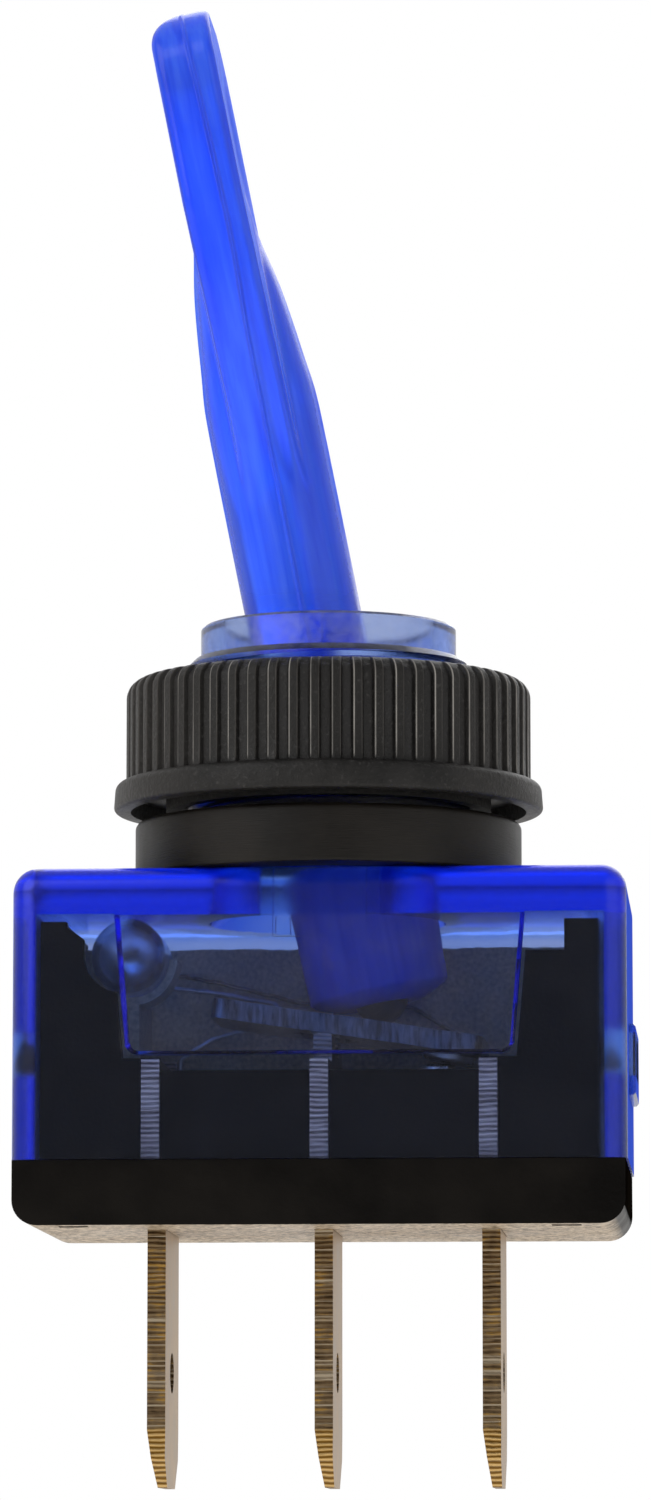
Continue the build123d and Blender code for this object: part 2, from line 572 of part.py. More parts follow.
def toggle_lever():
    half_t = PADDLE_T / 2
    half_plate = extrude(paddle_outline(), amount=half_t, both=True)
    plate = half_plate + mirrored_y(half_plate)
    on_faces = plate.edges().filter_by(lambda e: abs(abs(e.center().X) - half_t) < 1e-3)
    rim = on_faces.filter_by(lambda e: e.center().Z > PADDLE_FULL_W_AT - 1 and abs(e.center().Y) > 0.5)
    plate = Pos(PADDLE_SHIFT, 0, 0) * fillet(rim, TIP_EDGE_R)
    # the round shaft swells out of the plate: full round below, fading into the plate's faces above
    shaft = SHAFT_D / 2
    lower = Pos(0, 0, BULGE_START / 2 - 1) * Cylinder(shaft, BULGE_START + 2)
    sections = [
        Plane.XY.offset(BULGE_START) * Circle(shaft),
        Plane.XY.offset(BULGE_START + 2.6) * Pos(PADDLE_SHIFT * 0.1, 0) * Ellipse(shaft * 0.9, shaft * 0.98),
        Plane.XY.offset(BULGE_END - 2.6) * Pos(PADDLE_SHIFT * 0.4, 0) * Ellipse(shaft * 0.7, shaft * 0.86),
        Plane.XY.offset(BULGE_END) * Pos(PADDLE_SHIFT * 0.7, 0) * Ellipse(half_t - 0.1, shaft * 0.7),
    ]
    bulge = loft(sections)
    barrel = revolved(
        [
            (0, -NOSE_END),
            (NOSE_D / 2, -NOSE_END),
            (BARREL_D / 2 - 0.15, -BARREL_END),
            (BARREL_D / 2, -BARREL_START),
            (shaft, -BARREL_NECK),
            (shaft, 0),
            (0, 0),
        ]
    )
    trunnions = rod_y(TRUNNION_D, 0, 0, -TRUNNION_SPAN / 2, TRUNNION_SPAN / 2)
    lever = plate + lower + bulge + barrel + trunnions
    bore_top = TIP_CENTRE - PLUNGER_L - SPRING_L
    bore_r = PLUNGER_R + PLUNGER_CLEAR
    lever -= Pos(0, 0, -(bore_top + NOSE_END + 1) / 2) * Cylinder(bore_r, NOSE_END + 1 - bore_top)
    # shallow scoops in both faces of the paddle
    span = SCOOP_END - SCOOP_START
    for side in (-1, 1):
        ball_r = ((SCOOP_W / 2) ** 2 + SCOOP_DEPTH ** 2) / (2 * SCOOP_DEPTH)
        middle_x = PADDLE_SHIFT + side * (half_t - SCOOP_DEPTH + ball_r)
        cutter = Pos(middle_x, 0, (SCOOP_START + SCOOP_END) / 2)
        cut_rod = cutter * Cylinder(ball_r, span - SCOOP_W)
        for end in (-1, 1):
            cut_rod += cutter * Pos(0, 0, end * (span - SCOOP_W) / 2) * Sphere(ball_r)
        lever -= cut_rod
    return on_lever(lever)


def contact_plunger():
    """A round-nosed pin, drawn along the lever from its tip's centre back into the barrel."""
    nose = Pos(0, 0, -TIP_CENTRE) * Sphere(PLUNGER_R)
    shank = Pos(0, 0, -TIP_CENTRE + PLUNGER_L / 2) * Cylinder(PLUNGER_R, PLUNGER_L)
    return on_lever(nose + shank)


def plunger_spring():
    """An open coil between the barrel's blind end and the plunger."""
    z0 = -TIP_CENTRE + PLUNGER_L + SPRING_WIRE / 2 + 0.02
    length = SPRING_L - SPRING_WIRE - 0.04
    radius = (SPRING_D - SPRING_WIRE) / 2
    coil = Helix(pitch=length / SPRING_TURNS, height=length, radius=radius)
    section = Plane(origin=coil @ 0, z_dir=coil % 0) * Circle(SPRING_WIRE / 2)
    return on_lever(Pos(0, 0, z0) * sweep(section, path=coil, is_frenet=True))


# ---- lamp ----
def lamp_glass():
    """A round-ended glass tube lying along Y, its dome toward the window and its pinched seal at the back."""
    radius = LAMP_D / 2
    outer = rod_y(LAMP_D, LAMP_X, LAMP_Z, LAMP_FRONT_Y + radius, LAMP_BACK_Y)
    outer += Pos(LAMP_X, LAMP_FRONT_Y + radius, LAMP_Z) * Sphere(radius)
    inner_r = radius - LAMP_WALL
    seal = LAMP_BACK_Y - LAMP_SEAL_L
    inner = rod_y(2 * inner_r, LAMP_X, LAMP_Z, LAMP_FRONT_Y + radius, seal)
    inner += Pos(LAMP_X, LAMP_FRONT_Y + radius, LAMP_Z) * Sphere(inner_r)
    glass = outer - inner
    for side in (-1, 1):
        glass -= rod_y(LEAD_D + 0.04, LAMP_X + side * LEAD_SPREAD / 2, LAMP_Z, seal - 1, LAMP_BACK_Y + 1)
    return glass


def lamp_bead():
    """The small glass bead that holds the two posts apart."""
    y1 = LAMP_BACK_Y - LAMP_SEAL_L - 0.5
    bead = Pos(LAMP_X, y1 - BEAD_L / 2, LAMP_Z) * Sphere(BEAD_D / 2)
    for side in (-1, 1):
        bead -= rod_y(LEAD_D + 0.04, LAMP_X + side * LEAD_SPREAD / 2, LAMP_Z, y1 - 3, y1 + 3)
    return bead


def post_tip_y():
    return LAMP_FRONT_Y + LAMP_D / 2 + 0.2


def lamp_filament():
    """A fine coil strung between the two posts' tips."""
    span = LEAD_SPREAD - LEAD_D - 0.04
    coil = Pos(LAMP_X - span / 2, post_tip_y() + LEAD_D, LAMP_Z) * Rot(0, 90, 0)
    path = Helix(pitch=span / 5, height=span, radius=0.13)
    section = Plane(origin=path @ 0, z_dir=path % 0) * Circle(0.035)
    return coil * sweep(section, path=path, is_frenet=True)


def lamp_lead_load():
    """From the lamp's post along the back wall, past the barrel, to the load terminal's tab."""
    x0 = LAMP_X + LEAD_SPREAD / 2
    y = TAB_Y + 0.3
    tab_x = BLADE_PITCH - BLADE_T / 2 - LEAD_D / 2 - 0.02
    tab_z = PLATE_TOP_Z + TAB_H
    points = [(x0, post_tip_y(), LAMP_Z), (x0, y, LAMP_Z), (LAMP_X + 3.4, y, LAMP_Z - 0.5)]
    points += [(-1.5, y, LAMP_Z - 1.4)]
    points += [(3.5, y, LAMP_Z - 1.7), (tab_x - 0.9, y, tab_z + 0.9), (tab_x, y, tab_z + 0.1)]
    points += [(tab_x, y, tab_z - 0.6)]
    return wire(points, 0.35)


def lamp_lead_ground():
    """From the lamp's post, right behind the rocker, and back in a loop to the ground terminal's tab."""
    x0 = LAMP_X - LEAD_SPREAD / 2
    y = TAB_Y - 0.4
    tab_x = -BLADE_PITCH + BLADE_T / 2 + LEAD_D / 2 + 0.02
    tab_z = PLATE_TOP_Z + TAB_H
    points = [(x0, post_tip_y(), LAMP_Z), (x0, y, LAMP_Z), (x0 + 0.1, y, LAMP_Z - 0.6)]
    points += [(LAMP_X + 3.5, y, LAMP_Z - 1.05), (-2.6, y, LAMP_Z - 1.5), (-2.0, y, LAMP_Z - 2.05)]
    points += [(-3.0, y, LAMP_Z - 2.4), (-5.4, y, LAMP_Z - 3.1)]
    points += [(tab_x, y, tab_z + 0.1), (tab_x, y, tab_z - 0.6)]
    return wire(points, 0.18)


# ---- nut and collar ----
def spacer_collar():
    inner, outer = THREAD_D / 2 + COLLAR_CLEAR, COLLAR_D / 2
    return revolved(
        [
            (inner, COVER_TOP_Z),
            (outer, COVER_TOP_Z),
            (outer, PANEL_SEAT_Z - COLLAR_EDGE),
            (outer - COLLAR_EDGE, PANEL_SEAT_Z),
            (inner, PANEL_SEAT_Z),
        ]
    )


def retaining_nut():
    bottom, top = NUT_BOTTOM_Z, NUT_BOTTOM_Z + NUT_H
    inner, grip, flange = THREAD_D / 2 + NUT_THREAD_CLEAR, NUT_GRIP_D / 2, NUT_FLANGE_D / 2
    hub = inner + NUT_COLLAR_WALL
    foot = flange - NUT_RIM_W
    hollow = bottom + NUT_HOLLOW_DEPTH
    shoulder = bottom + NUT_FLANGE_H
    nut = revolved(
        [
            (inner, bottom + 0.3),
            (inner + 0.3, bottom),
            (hub, bottom),
            (hub, hollow),
            (foot, hollow),
            (foot, bottom),
            (flange, bottom),
            (flange - 0.1, shoulder - NUT_FLANGE_EDGE),
            (grip, shoulder),
            (grip, top),
            (inner + 0.3, top),
            (inner, top - 0.3),
        ]
    )
    crown = nut.edges().filter_by(GeomType.CIRCLE).filter_by(
        lambda e: abs(e.radius - grip) < 1e-4 and abs(e.center().Z - top) < 1e-4
    )
    nut = fillet(crown, NUT_EDGE_R)
    # shallow hollow flutes, whose ends run out on the rounded crown
    half_w = math.pi * grip / NUT_FLUTES - NUT_CREST_W / 2
    flute_r = (half_w ** 2 + NUT_FLUTE_DEPTH ** 2) / (2 * NUT_FLUTE_DEPTH)
    flute = Pos(grip - NUT_FLUTE_DEPTH + flute_r, 0, (shoulder + top) / 2) * Cylinder(flute_r, top - shoulder)
    for n in range(NUT_FLUTES):
        nut -= Rot(0, 0, 360 * n / NUT_FLUTES) * flute
    return nut


PIECES = {
    "housing_cover": housing_cover,
    "base_body": base_body,
    "toggle_lever": toggle_lever,
    "retaining_nut": retaining_nut,
    "spacer_collar": spacer_collar,
    "supply_terminal": supply_terminal,
    "load_terminal": lambda: outer_terminal(1),
    "ground_terminal": lambda: outer_terminal(-1),
    "rocker_contact": rocker_contact,
    "moving_contact_button": moving_contact_button,
    "load_contact_button": load_contact_button,
    "contact_plunger": contact_plunger,
    "plunger_spring": plunger_spring,
    "lamp_glass": lamp_glass,
    "lamp_bead": lamp_bead,
    "lamp_filament": lamp_filament,
    "lamp_lead_load": lamp_lead_load,
    "lamp_lead_ground": lamp_lead_ground,
}

os.makedirs("parts", exist_ok=True)
for name, make in PIECES.items():
    export_step(make(), f"parts/{name}.step")
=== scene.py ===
import json
import math

import bmesh
import bpy
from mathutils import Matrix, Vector


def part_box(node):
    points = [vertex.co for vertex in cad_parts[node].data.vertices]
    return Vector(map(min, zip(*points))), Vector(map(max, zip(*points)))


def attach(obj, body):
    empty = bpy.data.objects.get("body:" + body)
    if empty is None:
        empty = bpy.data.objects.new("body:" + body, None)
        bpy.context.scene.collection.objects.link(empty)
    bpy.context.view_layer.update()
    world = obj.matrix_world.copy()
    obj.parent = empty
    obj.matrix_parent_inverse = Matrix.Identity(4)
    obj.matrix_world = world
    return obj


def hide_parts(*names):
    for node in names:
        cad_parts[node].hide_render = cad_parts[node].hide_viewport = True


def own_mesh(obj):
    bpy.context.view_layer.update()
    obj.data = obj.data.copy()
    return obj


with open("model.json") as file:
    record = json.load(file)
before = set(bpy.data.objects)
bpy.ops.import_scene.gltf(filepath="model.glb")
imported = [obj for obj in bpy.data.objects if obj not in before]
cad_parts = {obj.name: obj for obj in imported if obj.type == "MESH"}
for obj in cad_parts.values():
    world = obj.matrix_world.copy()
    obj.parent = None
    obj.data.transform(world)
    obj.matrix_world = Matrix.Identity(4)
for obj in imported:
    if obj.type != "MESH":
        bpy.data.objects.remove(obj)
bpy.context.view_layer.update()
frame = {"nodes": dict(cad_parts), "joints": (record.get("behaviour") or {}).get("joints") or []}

# An illuminated duckbill toggle switch. The see-through lever, the cover with its thread, the ribbed nut, the
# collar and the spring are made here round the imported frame, and every piece gets its plastic, metal or
# glass. Sizes are in millimetres here, and in metres from the materials on.

MM = 0.001
nodes = frame["nodes"]
joints = {joint["name"]: joint for joint in frame["joints"]}

# lever's own axes: s runs up along it from the trunnions, x across its narrow side
PIVOT = Vector(joints["toggle_pivot"]["pos_m"])
UP_AXIS = Vector(joints["plunger_travel"]["axis"])
TILT = math.atan2(-UP_AXIS.x, UP_AXIS.z)

SEAT_GAP = 0.02             # air between the cover and what lies flat on it, without which glass looks wrong
ON_PLANE = 0.01             # points this near a plane lie on it
WELD = 2e-7                 # metres between points that are one

# thread on the bushing
THREAD_R = 6.35
THREAD_ROOT_R = 5.88
THREAD_PITCH = 1.0
THREAD_FOOT, THREAD_END = -2.0, 8.4
THREAD_STEPS = 64           # sections in one turn
CUTTER_PROUD = 0.4          # how far its cutter stands out past the ridges
GROOVE_W = 0.49             # of the thread's groove, between the ridges' tops
GROOVE_FLOOR_W = 0.14
PILOT_R = 5.75              # plain tip above the thread, slimmer than the groove's floor
PILOT_H = 1.5

# mould's parting line on the cover
PARTING_X = 0.06
PARTING_W = 0.10
PARTING_SINK = 0.3          # into its wall
TIP_PARTING_PROUD = 0.09
TIP_PARTING_GAPS = (0.1, 0.14)  # to the pilot's foot and top
FACE_PARTING_PROUD = 0.04
FACE_PARTING_FOOT, FACE_PARTING_TOP = -9.5, -3.6

# lever's shaft and paddle
SHAFT_R = 2.6
SHAFT_FOOT = -3.0
PADDLE_FOOT = 9.0           # the paddle swells out of the shaft from here
PADDLE_HALF_W = 4.5
PADDLE_HALF_T = 1.39
LEAST_HALF_T = 0.05         # where the tip closes
PADDLE_EDGE_R = 0.45
PADDLE_SHIFT = -0.12        # of the paddle's middle from the shaft's
SHIFT_SHARE = [(15.0, 0.0), (19.0, 0.3), (24.5, 1.0)]
SECTION_STEP = 0.3          # from one section to the next
LEAST_STEP = 0.1            # from the last of these to the tip's own
LEVER_LENGTH = 33.79
TIP_CORNER_R = 3.2
TIP_FRONT_R = 1.8           # edge radius at the tip on the -x side
TIP_BACK_R = 0.3            # and on the +x side
TIP_STEPS = 18              # sections through the rounded tip

# half thickness and half width of the bulge that the shaft runs out in, and the paddle's half width
BULGE_T = [(13.0, SHAFT_R), (15.8, 2.56), (17.6, 2.37), (19.5, 2.17), (21.3, 1.92), (23.2, 1.52), (25.2, 1.0)]
BULGE_W = [(13.0, SHAFT_R), (18.5, 2.5), (21.3, 2.2), (24.4, 1.6), (25.2, 1.4)]
WING_W = [(9.0, 1.7), (12.0, 2.45), (15.5, 3.1), (20.0, 4.0), (24.5, PADDLE_HALF_W)]
BULGE_END = 25.2
BULGE_BLEND = 0.3           # fills the corner between bulge and paddle

# shallow scoop in the paddle's broad faces
SCOOP_DEPTH = 0.3
SCOOP_HALF_W = 2.8
SCOOP_LEAST_X = 0.6         # points nearer the middle are on the narrow edges
SCOOP_SHARE = [(24.4, 0.0), (27.0, 1.0), (29.5, 1.0), (32.2, 0.0)]

# parting line down both narrow edges
FLASH_H = 0.10
FLASH_W = 0.08
FLASH_X = [(0.0, 0.1), (9.0, 0.13), (18.0, 0.22), (23.0, 0.45), (28.0, 0.38), (33.8, 0.16)]
FLASH_REACH = 0.9           # sine of the angles that it stands on

# points round the lever's section
LEVER_POINTS = 180
EDGE_CROWDING = 2.0         # of points toward the narrow edges
FINE_STEP = 0.006           # radians between the points at the parting line
FINE_FROM, FINE_TO = -2, 25  # more of them on its +x side, where the line lies

# lever's lower barrel, from its mouth up to the shaft: radius and s
BARREL = [(2.0, -12.35), (2.3, -12.2), (3.02, -11.85), (3.11, -11.7), (3.24, -6.4), (3.2, -6.1), (2.66, -4.2),
          (SHAFT_R, -3.9)]
TRUNNION_R = 2.0
TRUNNION_HALF_SPAN = 5.35
BORE_R = 1.25
BORE_END = -3.24            # where the spring's fixed end sits
BORE_L = 10.0
BORE_EDGE = 0.02

# moulding gate's nub at the lever's tip
NUB_R = 0.16
NUB_L = 0.5
NUB_EDGE = 0.07
NUB_X, NUB_Y = -0.12, -0.05
NUB_SINK = 0.18

# nut
NUT_RIBS = 60
RIB_STEPS = 24              # points round one rib and its groove
RIB_GROOVE_DEPTH = 0.2
GROOVE_SHARE = 0.42         # of a rib's pitch, the groove's flat floor
RIB_SHARE = 0.40            # and the land of the rib
NUT_INNER_R = 6.41
NUT_GRIP_R = 9.1
NUT_HUB_W = 0.9             # wall between its thread and the hollow beneath
NUT_RIM_W = 0.75            # and outside the hollow
NUT_HOLLOW_H = 0.8
NUT_LIP = 0.32              # at the mouths of its thread
FLANGE_H = 1.3
FLANGE_FOOT_R = 0.2
FLANGE_TOP_R = 0.4
FLANGE_DRAFT = 0.05         # its top edge from its foot
CROWN_R = 0.8               # rounds the grip's top
CROWN_STEPS = 10
CROWN_FADE = 1.0            # radians up the crown where the grooves start to run out

# collar
COLLAR_INNER_R = 6.47
COLLAR_FOOT_R = 0.12
COLLAR_TOP_R = 0.3
COLLAR_CHAMFER = 0.1
COLLAR_POINTS = 192


# ---- mesh helpers ----
def mesh_object(name, verts, faces):
    """A linked object from millimetre points."""
    mesh = bpy.data.meshes.new(name)
    mesh.from_pydata([Vector(v) * MM for v in verts], [], faces)
    obj = bpy.data.objects.new(name, mesh)
    bpy.context.scene.collection.objects.link(obj)
    return obj


def settle(obj, sharp=32.0):
    """Welds the mesh, turns its faces outward and smooths it, apart from edges sharper than those degrees."""
    bm = bmesh.new()
    bm.from_mesh(obj.data)
    bmesh.ops.remove_doubles(bm, verts=bm.verts, dist=WELD)
    bmesh.ops.recalc_face_normals(bm, faces=bm.faces)
    for face in bm.faces:
        face.smooth = True
    for edge in bm.edges:
        edge.smooth = edge.calc_face_angle(0.0) < math.radians(sharp)
    bm.to_mesh(obj.data)
    bm.free()


def combine(obj, tool, how):
    """Adds a new tool to obj, or cuts it away, and removes it."""
    settle(tool)
    modifier = obj.modifiers.new(how, "BOOLEAN")
    modifier.operation = how
    modifier.object = tool
    modifier.solver = "EXACT"
    graph = bpy.context.evaluated_depsgraph_get()
    result = bpy.data.meshes.new_from_object(obj.evaluated_get(graph))
    obj.modifiers.clear()
    obj.data = result
    bpy.data.objects.remove(tool)


def rings_mesh(name, rings, closed_section=False):
    """Joins equal rings of points in order. An open row is capped, a closed section goes right round."""
    count = len(rings[0])
    verts = [point for ring in rings for point in ring]
    faces = []
    last = len(rings) if closed_section else len(rings) - 1
    for k in range(last):
        here, there = k * count, ((k + 1) % len(rings)) * count
        for i in range(count):
            j = (i + 1) % count
            faces.append((here + i, here + j, there + j, there + i))
    if not closed_section:
        faces.append(tuple(range(count - 1, -1, -1)))
        top = (len(rings) - 1) * count
        faces.append(tuple(range(top, top + count)))
    return mesh_object(name, verts, faces)


def turned(name, section, count, cut=None):
    """A ring about Z from a closed half section of (radius, height, cut's share in radius, and in height)."""
    rings = []
    for radius, height, in_radius, in_height in section:
        ring = []
        for i in range(count):
            angle = 2 * math.pi * i / count
            depth = cut(i) if cut and (in_radius or in_height) else 0.0
            r, z = radius - in_radius * depth, height - in_height * depth
            ring.append((r * math.cos(angle), r * math.sin(angle), z))
        rings.append(ring)
    return rings_mesh(name, rings, closed_section=True)


def arc(cx, cz, radius, start, end, steps):
    """Points of an arc in the half section, angles in degrees from +radius toward +height."""
    out = []
    for i in range(steps + 1):
        a = math.radians(start + (end - start) * i / steps)
        out.append((cx + radius * math.cos(a), cz + radius * math.sin(a)))
    return out


def plain(points):
    """Points of a half section that no cut reaches."""
    return [(r, z, 0.0, 0.0) for r, z in points]


def smooth(table, s):
    """A smooth curve through (place, value) stops, level beyond both ends."""
    if s <= table[0][0]:
        return table[0][1]
    if s >= table[-1][0]:
        return table[-1][1]
    k = next(i for i in range(len(table) - 1) if s <= table[i + 1][0])
    (s0, v0), (s1, v1) = table[k], table[k + 1]
    before, after = table[max(k - 1, 0)], table[min(k + 2, len(table) - 1)]
    rise0 = (v1 - before[1]) / (s1 - before[0])
    rise1 = (after[1] - v0) / (after[0] - s0)
    span = s1 - s0
    t = (s - s0) / span
    return (
        v0 * (2 * t ** 3 - 3 * t ** 2 + 1)
        + rise0 * span * (t ** 3 - 2 * t ** 2 + t)
        + v1 * (3 * t ** 2 - 2 * t ** 3)
        + rise1 * span * (t ** 3 - t ** 2)
    )


def softest(a, b, blend):
    """The larger of two sizes, with the corner between them filled."""
    near = max(blend - abs(a - b), 0.0) / blend
    return max(a, b) + near * near * blend / 4


def rod(name, radius, length, place, count=48, edge=0.12):
    """A round rod with rounded-off ends; place carries (across, along, around) to the row frame."""
    slim, into = radius - edge, edge / length
    rings = []
    for t, r in ((-0.5, slim), (-0.5 + into, radius), (0.5 - into, radius), (0.5, slim)):
        ring = []
        for i in range(count):
            a = 2 * math.pi * i / count
            ring.append(place(r * math.cos(a), t * length, r * math.sin(a)))
        rings.append(ring)
    return rings_mesh(name, rings)


def copy_of(cad_node, name):
    """A welded copy of a CAD node's mesh, to work on."""
    source = nodes[cad_node].data
    mesh = bpy.data.meshes.new(name)
    mesh.from_pydata([v.co for v in source.vertices], [], [tuple(p.vertices) for p in source.polygons])
    obj = bpy.data.objects.new(name, mesh)
    bpy.context.scene.collection.objects.link(obj)
    settle(obj)
    return obj


# ---- lever ----
def to_row(x, y, s):
    """A point on the lever's own axes, in the row frame, in millimetres."""
    return (
        x * math.cos(TILT) - s * math.sin(TILT) + PIVOT.x / MM,
        y,
        x * math.sin(TILT) + s * math.cos(TILT) + PIVOT.z / MM,
    )


def rounded_end(s, radius, reach):
    """How far a side stands out near the tip, where its edge is rounded off with that radius."""
    into = s - (LEVER_LENGTH - radius)
    if into <= 0:
        return reach
    return reach - radius + math.sqrt(max(radius ** 2 - into ** 2, 0.0))


def lever_angles():
    """Angles round the section, closer together at the narrow edges and closest at their parting lines."""
    angles = []
    for i in range(LEVER_POINTS):
        t = 2 * math.pi * i / LEVER_POINTS
        angles.append(math.atan2(EDGE_CROWDING * math.sin(t), math.cos(t)) % (2 * math.pi))
    for k in range(FINE_FROM, FINE_TO):
        step = (k + 0.5) * FINE_STEP
        angles += [0.5 * math.pi - step, 1.5 * math.pi + step]
    return sorted(angles)


def box_radius(c, d, a, b, corner):
    """Distance from the middle to a rounded rectangle's outline, in the direction (c, d)."""
    c, d = abs(c), abs(d)
    corner = min(corner, a, b)
    if c * (b - corner) >= d * a:
        return a / c
    if d * (a - corner) >= c * b:
        return b / d
    x, y = a - corner, b - corner
    middle = x * c + y * d
    return middle + math.sqrt(max(middle ** 2 - x * x - y * y + corner ** 2, 0.0))


def lever_ring(s, angles):
    """One section of the lever: the round shaft swelling out of the flat paddle."""
    centre = PADDLE_SHIFT * smooth(SHIFT_SHARE, s)
    front = rounded_end(s, TIP_FRONT_R, PADDLE_HALF_T)
    back = rounded_end(s, TIP_BACK_R, PADDLE_HALF_T)
    wide = smooth(WING_W, s)
    if s > LEVER_LENGTH - TIP_CORNER_R:
        wide = rounded_end(s, TIP_CORNER_R, PADDLE_HALF_W)
    bulge_t, bulge_w = smooth(BULGE_T, s), smooth(BULGE_W, s)
    scoop = SCOOP_DEPTH * smooth(SCOOP_SHARE, s)
    line = smooth(FLASH_X, s)
    ring = []
    for angle in angles:
        c, d = math.cos(angle), math.sin(angle)
        bulge = 1 / math.sqrt((c / bulge_t) ** 2 + (d / bulge_w) ** 2)
        paddle = box_radius(c, d, max(front if c < 0 else back, LEAST_HALF_T), wide, PADDLE_EDGE_R)
        if s < PADDLE_FOOT:
            r = bulge
        elif s < BULGE_END:
            r = softest(bulge, paddle, BULGE_BLEND)
        else:
            r = paddle
        x, y = r * c, r * d
        if scoop > 0 and abs(y) < SCOOP_HALF_W and abs(x) > SCOOP_LEAST_X:
            x -= math.copysign(scoop * (1 - (y / SCOOP_HALF_W) ** 2), x)
        if s > SHAFT_FOOT and abs(d) > FLASH_REACH:
            y += math.copysign(FLASH_H * math.exp(-(((x - line) / FLASH_W) ** 2)), d)
        ring.append(to_row(x + centre, y, s))
    return ring


def make_lever():
    angles = lever_angles()
    rings = [[to_row(radius * math.cos(a), radius * math.sin(a), s) for a in angles] for radius, s in BARREL]
    s = SHAFT_FOOT
    while s < LEVER_LENGTH - TIP_FRONT_R - LEAST_STEP:
        rings.append(lever_ring(s, angles))
        s += SECTION_STEP
    for i in range(TIP_STEPS + 1):
        share = math.sin(math.pi / 2 * i / TIP_STEPS)
        rings.append(lever_ring(LEVER_LENGTH - TIP_FRONT_R * (1 - share), angles))
    lever = rings_mesh("lever", rings)
    settle(lever)
    combine(lever, rod("trunnions", TRUNNION_R, 2 * TRUNNION_HALF_SPAN, to_row), "UNION")
    nub = rod(
        "nub", NUB_R, NUB_L,
        lambda u, v, w: to_row(u + NUB_X, w + NUB_Y, LEVER_LENGTH - NUB_SINK + v), 20, NUB_EDGE,
    )
    combine(lever, nub, "UNION")
    bore = rod(
        "bore", BORE_R, BORE_L, lambda u, v, w: to_row(u, w, BORE_END - BORE_L / 2 + v), edge=BORE_EDGE
    )
    combine(lever, bore, "DIFFERENCE")
    settle(lever, 40)
    return lever


def shorten(spring):
    """Gives the spring its own copy of its mesh."""
    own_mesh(spring)


# ---- cover ----
def thread_cutter(z0, z1):
    """A helical V that leaves the thread's ridges standing on the bushing."""
    outer = THREAD_R + CUTTER_PROUD
    floor = GROOVE_FLOOR_W / 2
    flank = (GROOVE_W / 2 - floor) / (THREAD_R - THREAD_ROOT_R)
    half = floor + flank * (outer - THREAD_ROOT_R)
    turns = (z1 - z0) / THREAD_PITCH
    rings = []
    for i in range(int(turns * THREAD_STEPS) + 1):
        a = 2 * math.pi * i / THREAD_STEPS
        z = z0 + THREAD_PITCH * i / THREAD_STEPS
        ring = []
        for r, dz in ((outer, -half), (THREAD_ROOT_R, -floor), (THREAD_ROOT_R, floor), (outer, half)):
            ring.append((r * math.cos(a), r * math.sin(a), z + dz))
        rings.append(ring)
    return rings_mesh("thread cutter", rings)


def parting_ridge(y0, y1, z0, z1):
    """A fine upright ridge, to be joined to a wall."""
    x0, x1 = PARTING_X, PARTING_X + PARTING_W
    corners = ((x0, y0), (x1, y0), (x1, y1), (x0, y1))
    return rings_mesh("parting line", [[(x, y, z) for x, y in corners] for z in (z0, z1)])


def make_cover():
    cover = copy_of("housing_cover", "cover")
    low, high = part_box("housing_cover")
    face, top = low.y / MM, high.z / MM
    for vert in cover.data.vertices:
        if vert.co.z < low.z + ON_PLANE * MM:
            vert.co.z += SEAT_GAP * MM
    combine(cover, thread_cutter(THREAD_FOOT, THREAD_END), "DIFFERENCE")
    # the parting line runs down the tip and down the top half of the front face
    for wall, proud, z0, z1 in (
        (-PILOT_R, TIP_PARTING_PROUD, top - PILOT_H + TIP_PARTING_GAPS[0], top - TIP_PARTING_GAPS[1]),
        (face, FACE_PARTING_PROUD, FACE_PARTING_FOOT, FACE_PARTING_TOP),
    ):
        combine(cover, parting_ridge(wall - proud, wall + PARTING_SINK, z0, z1), "UNION")
    settle(cover, 28)
    return cover


# ---- nut and collar ----
def rib_cut(i):
    """Depth of the groove between two ribs at one of the nut's angular steps."""
    place = abs((i % RIB_STEPS) / RIB_STEPS - 0.5) * 2
    wall = (place - GROOVE_SHARE) / (1 - RIB_SHARE - GROOVE_SHARE)
    return RIB_GROOVE_DEPTH * (1 - min(max(wall, 0.0), 1.0))


def make_nut():
    low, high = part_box("retaining_nut")
    b, t = low.z / MM, high.z / MM
    inner, grip, flange = NUT_INNER_R, NUT_GRIP_R, high.y / MM
    hub, foot = inner + NUT_HUB_W, flange - NUT_RIM_W
    hollow, shoulder = b + NUT_HOLLOW_H, b + FLANGE_H
    # flange, up to the grip's foot
    section = plain([(foot, b)])
    section += plain(arc(flange - FLANGE_FOOT_R, b + FLANGE_FOOT_R, FLANGE_FOOT_R, -90, 0, 4))
    rim = flange - FLANGE_DRAFT - FLANGE_TOP_R
    section += plain(arc(rim, shoulder - FLANGE_TOP_R, FLANGE_TOP_R, 5, 80, 6))
    section += plain([(grip + 0.03, shoulder + 0.02)])
    # ribbed grip, and the crown where its grooves run out
    for z in (shoulder + 0.06, shoulder + 1.4, shoulder + 2.6, t - CROWN_R):
        section.append((grip, z, 1.0, 0.0))
    for k in range(1, CROWN_STEPS + 1):
        a = math.pi / 2 * k / CROWN_STEPS
        share = 1.0 if a < CROWN_FADE else max(0.0, (math.pi / 2 - a) / (math.pi / 2 - CROWN_FADE))
        r, z = grip - CROWN_R + CROWN_R * math.cos(a), t - CROWN_R + CROWN_R * math.sin(a)
        section.append((r, z, share * math.cos(a), share * math.sin(a)))
    # thread's mouth, its bore, and underneath the hub and the hollow
    section += plain([(inner + NUT_LIP, t), (inner + 0.06, t - 0.12), (inner, t - NUT_LIP)])
    section += plain([(inner, b + NUT_LIP), (inner + 0.3, b), (hub, b), (hub, hollow), (foot, hollow)])
    nut = turned("nut", section, NUT_RIBS * RIB_STEPS, rib_cut)
    settle(nut, 38)
    return nut


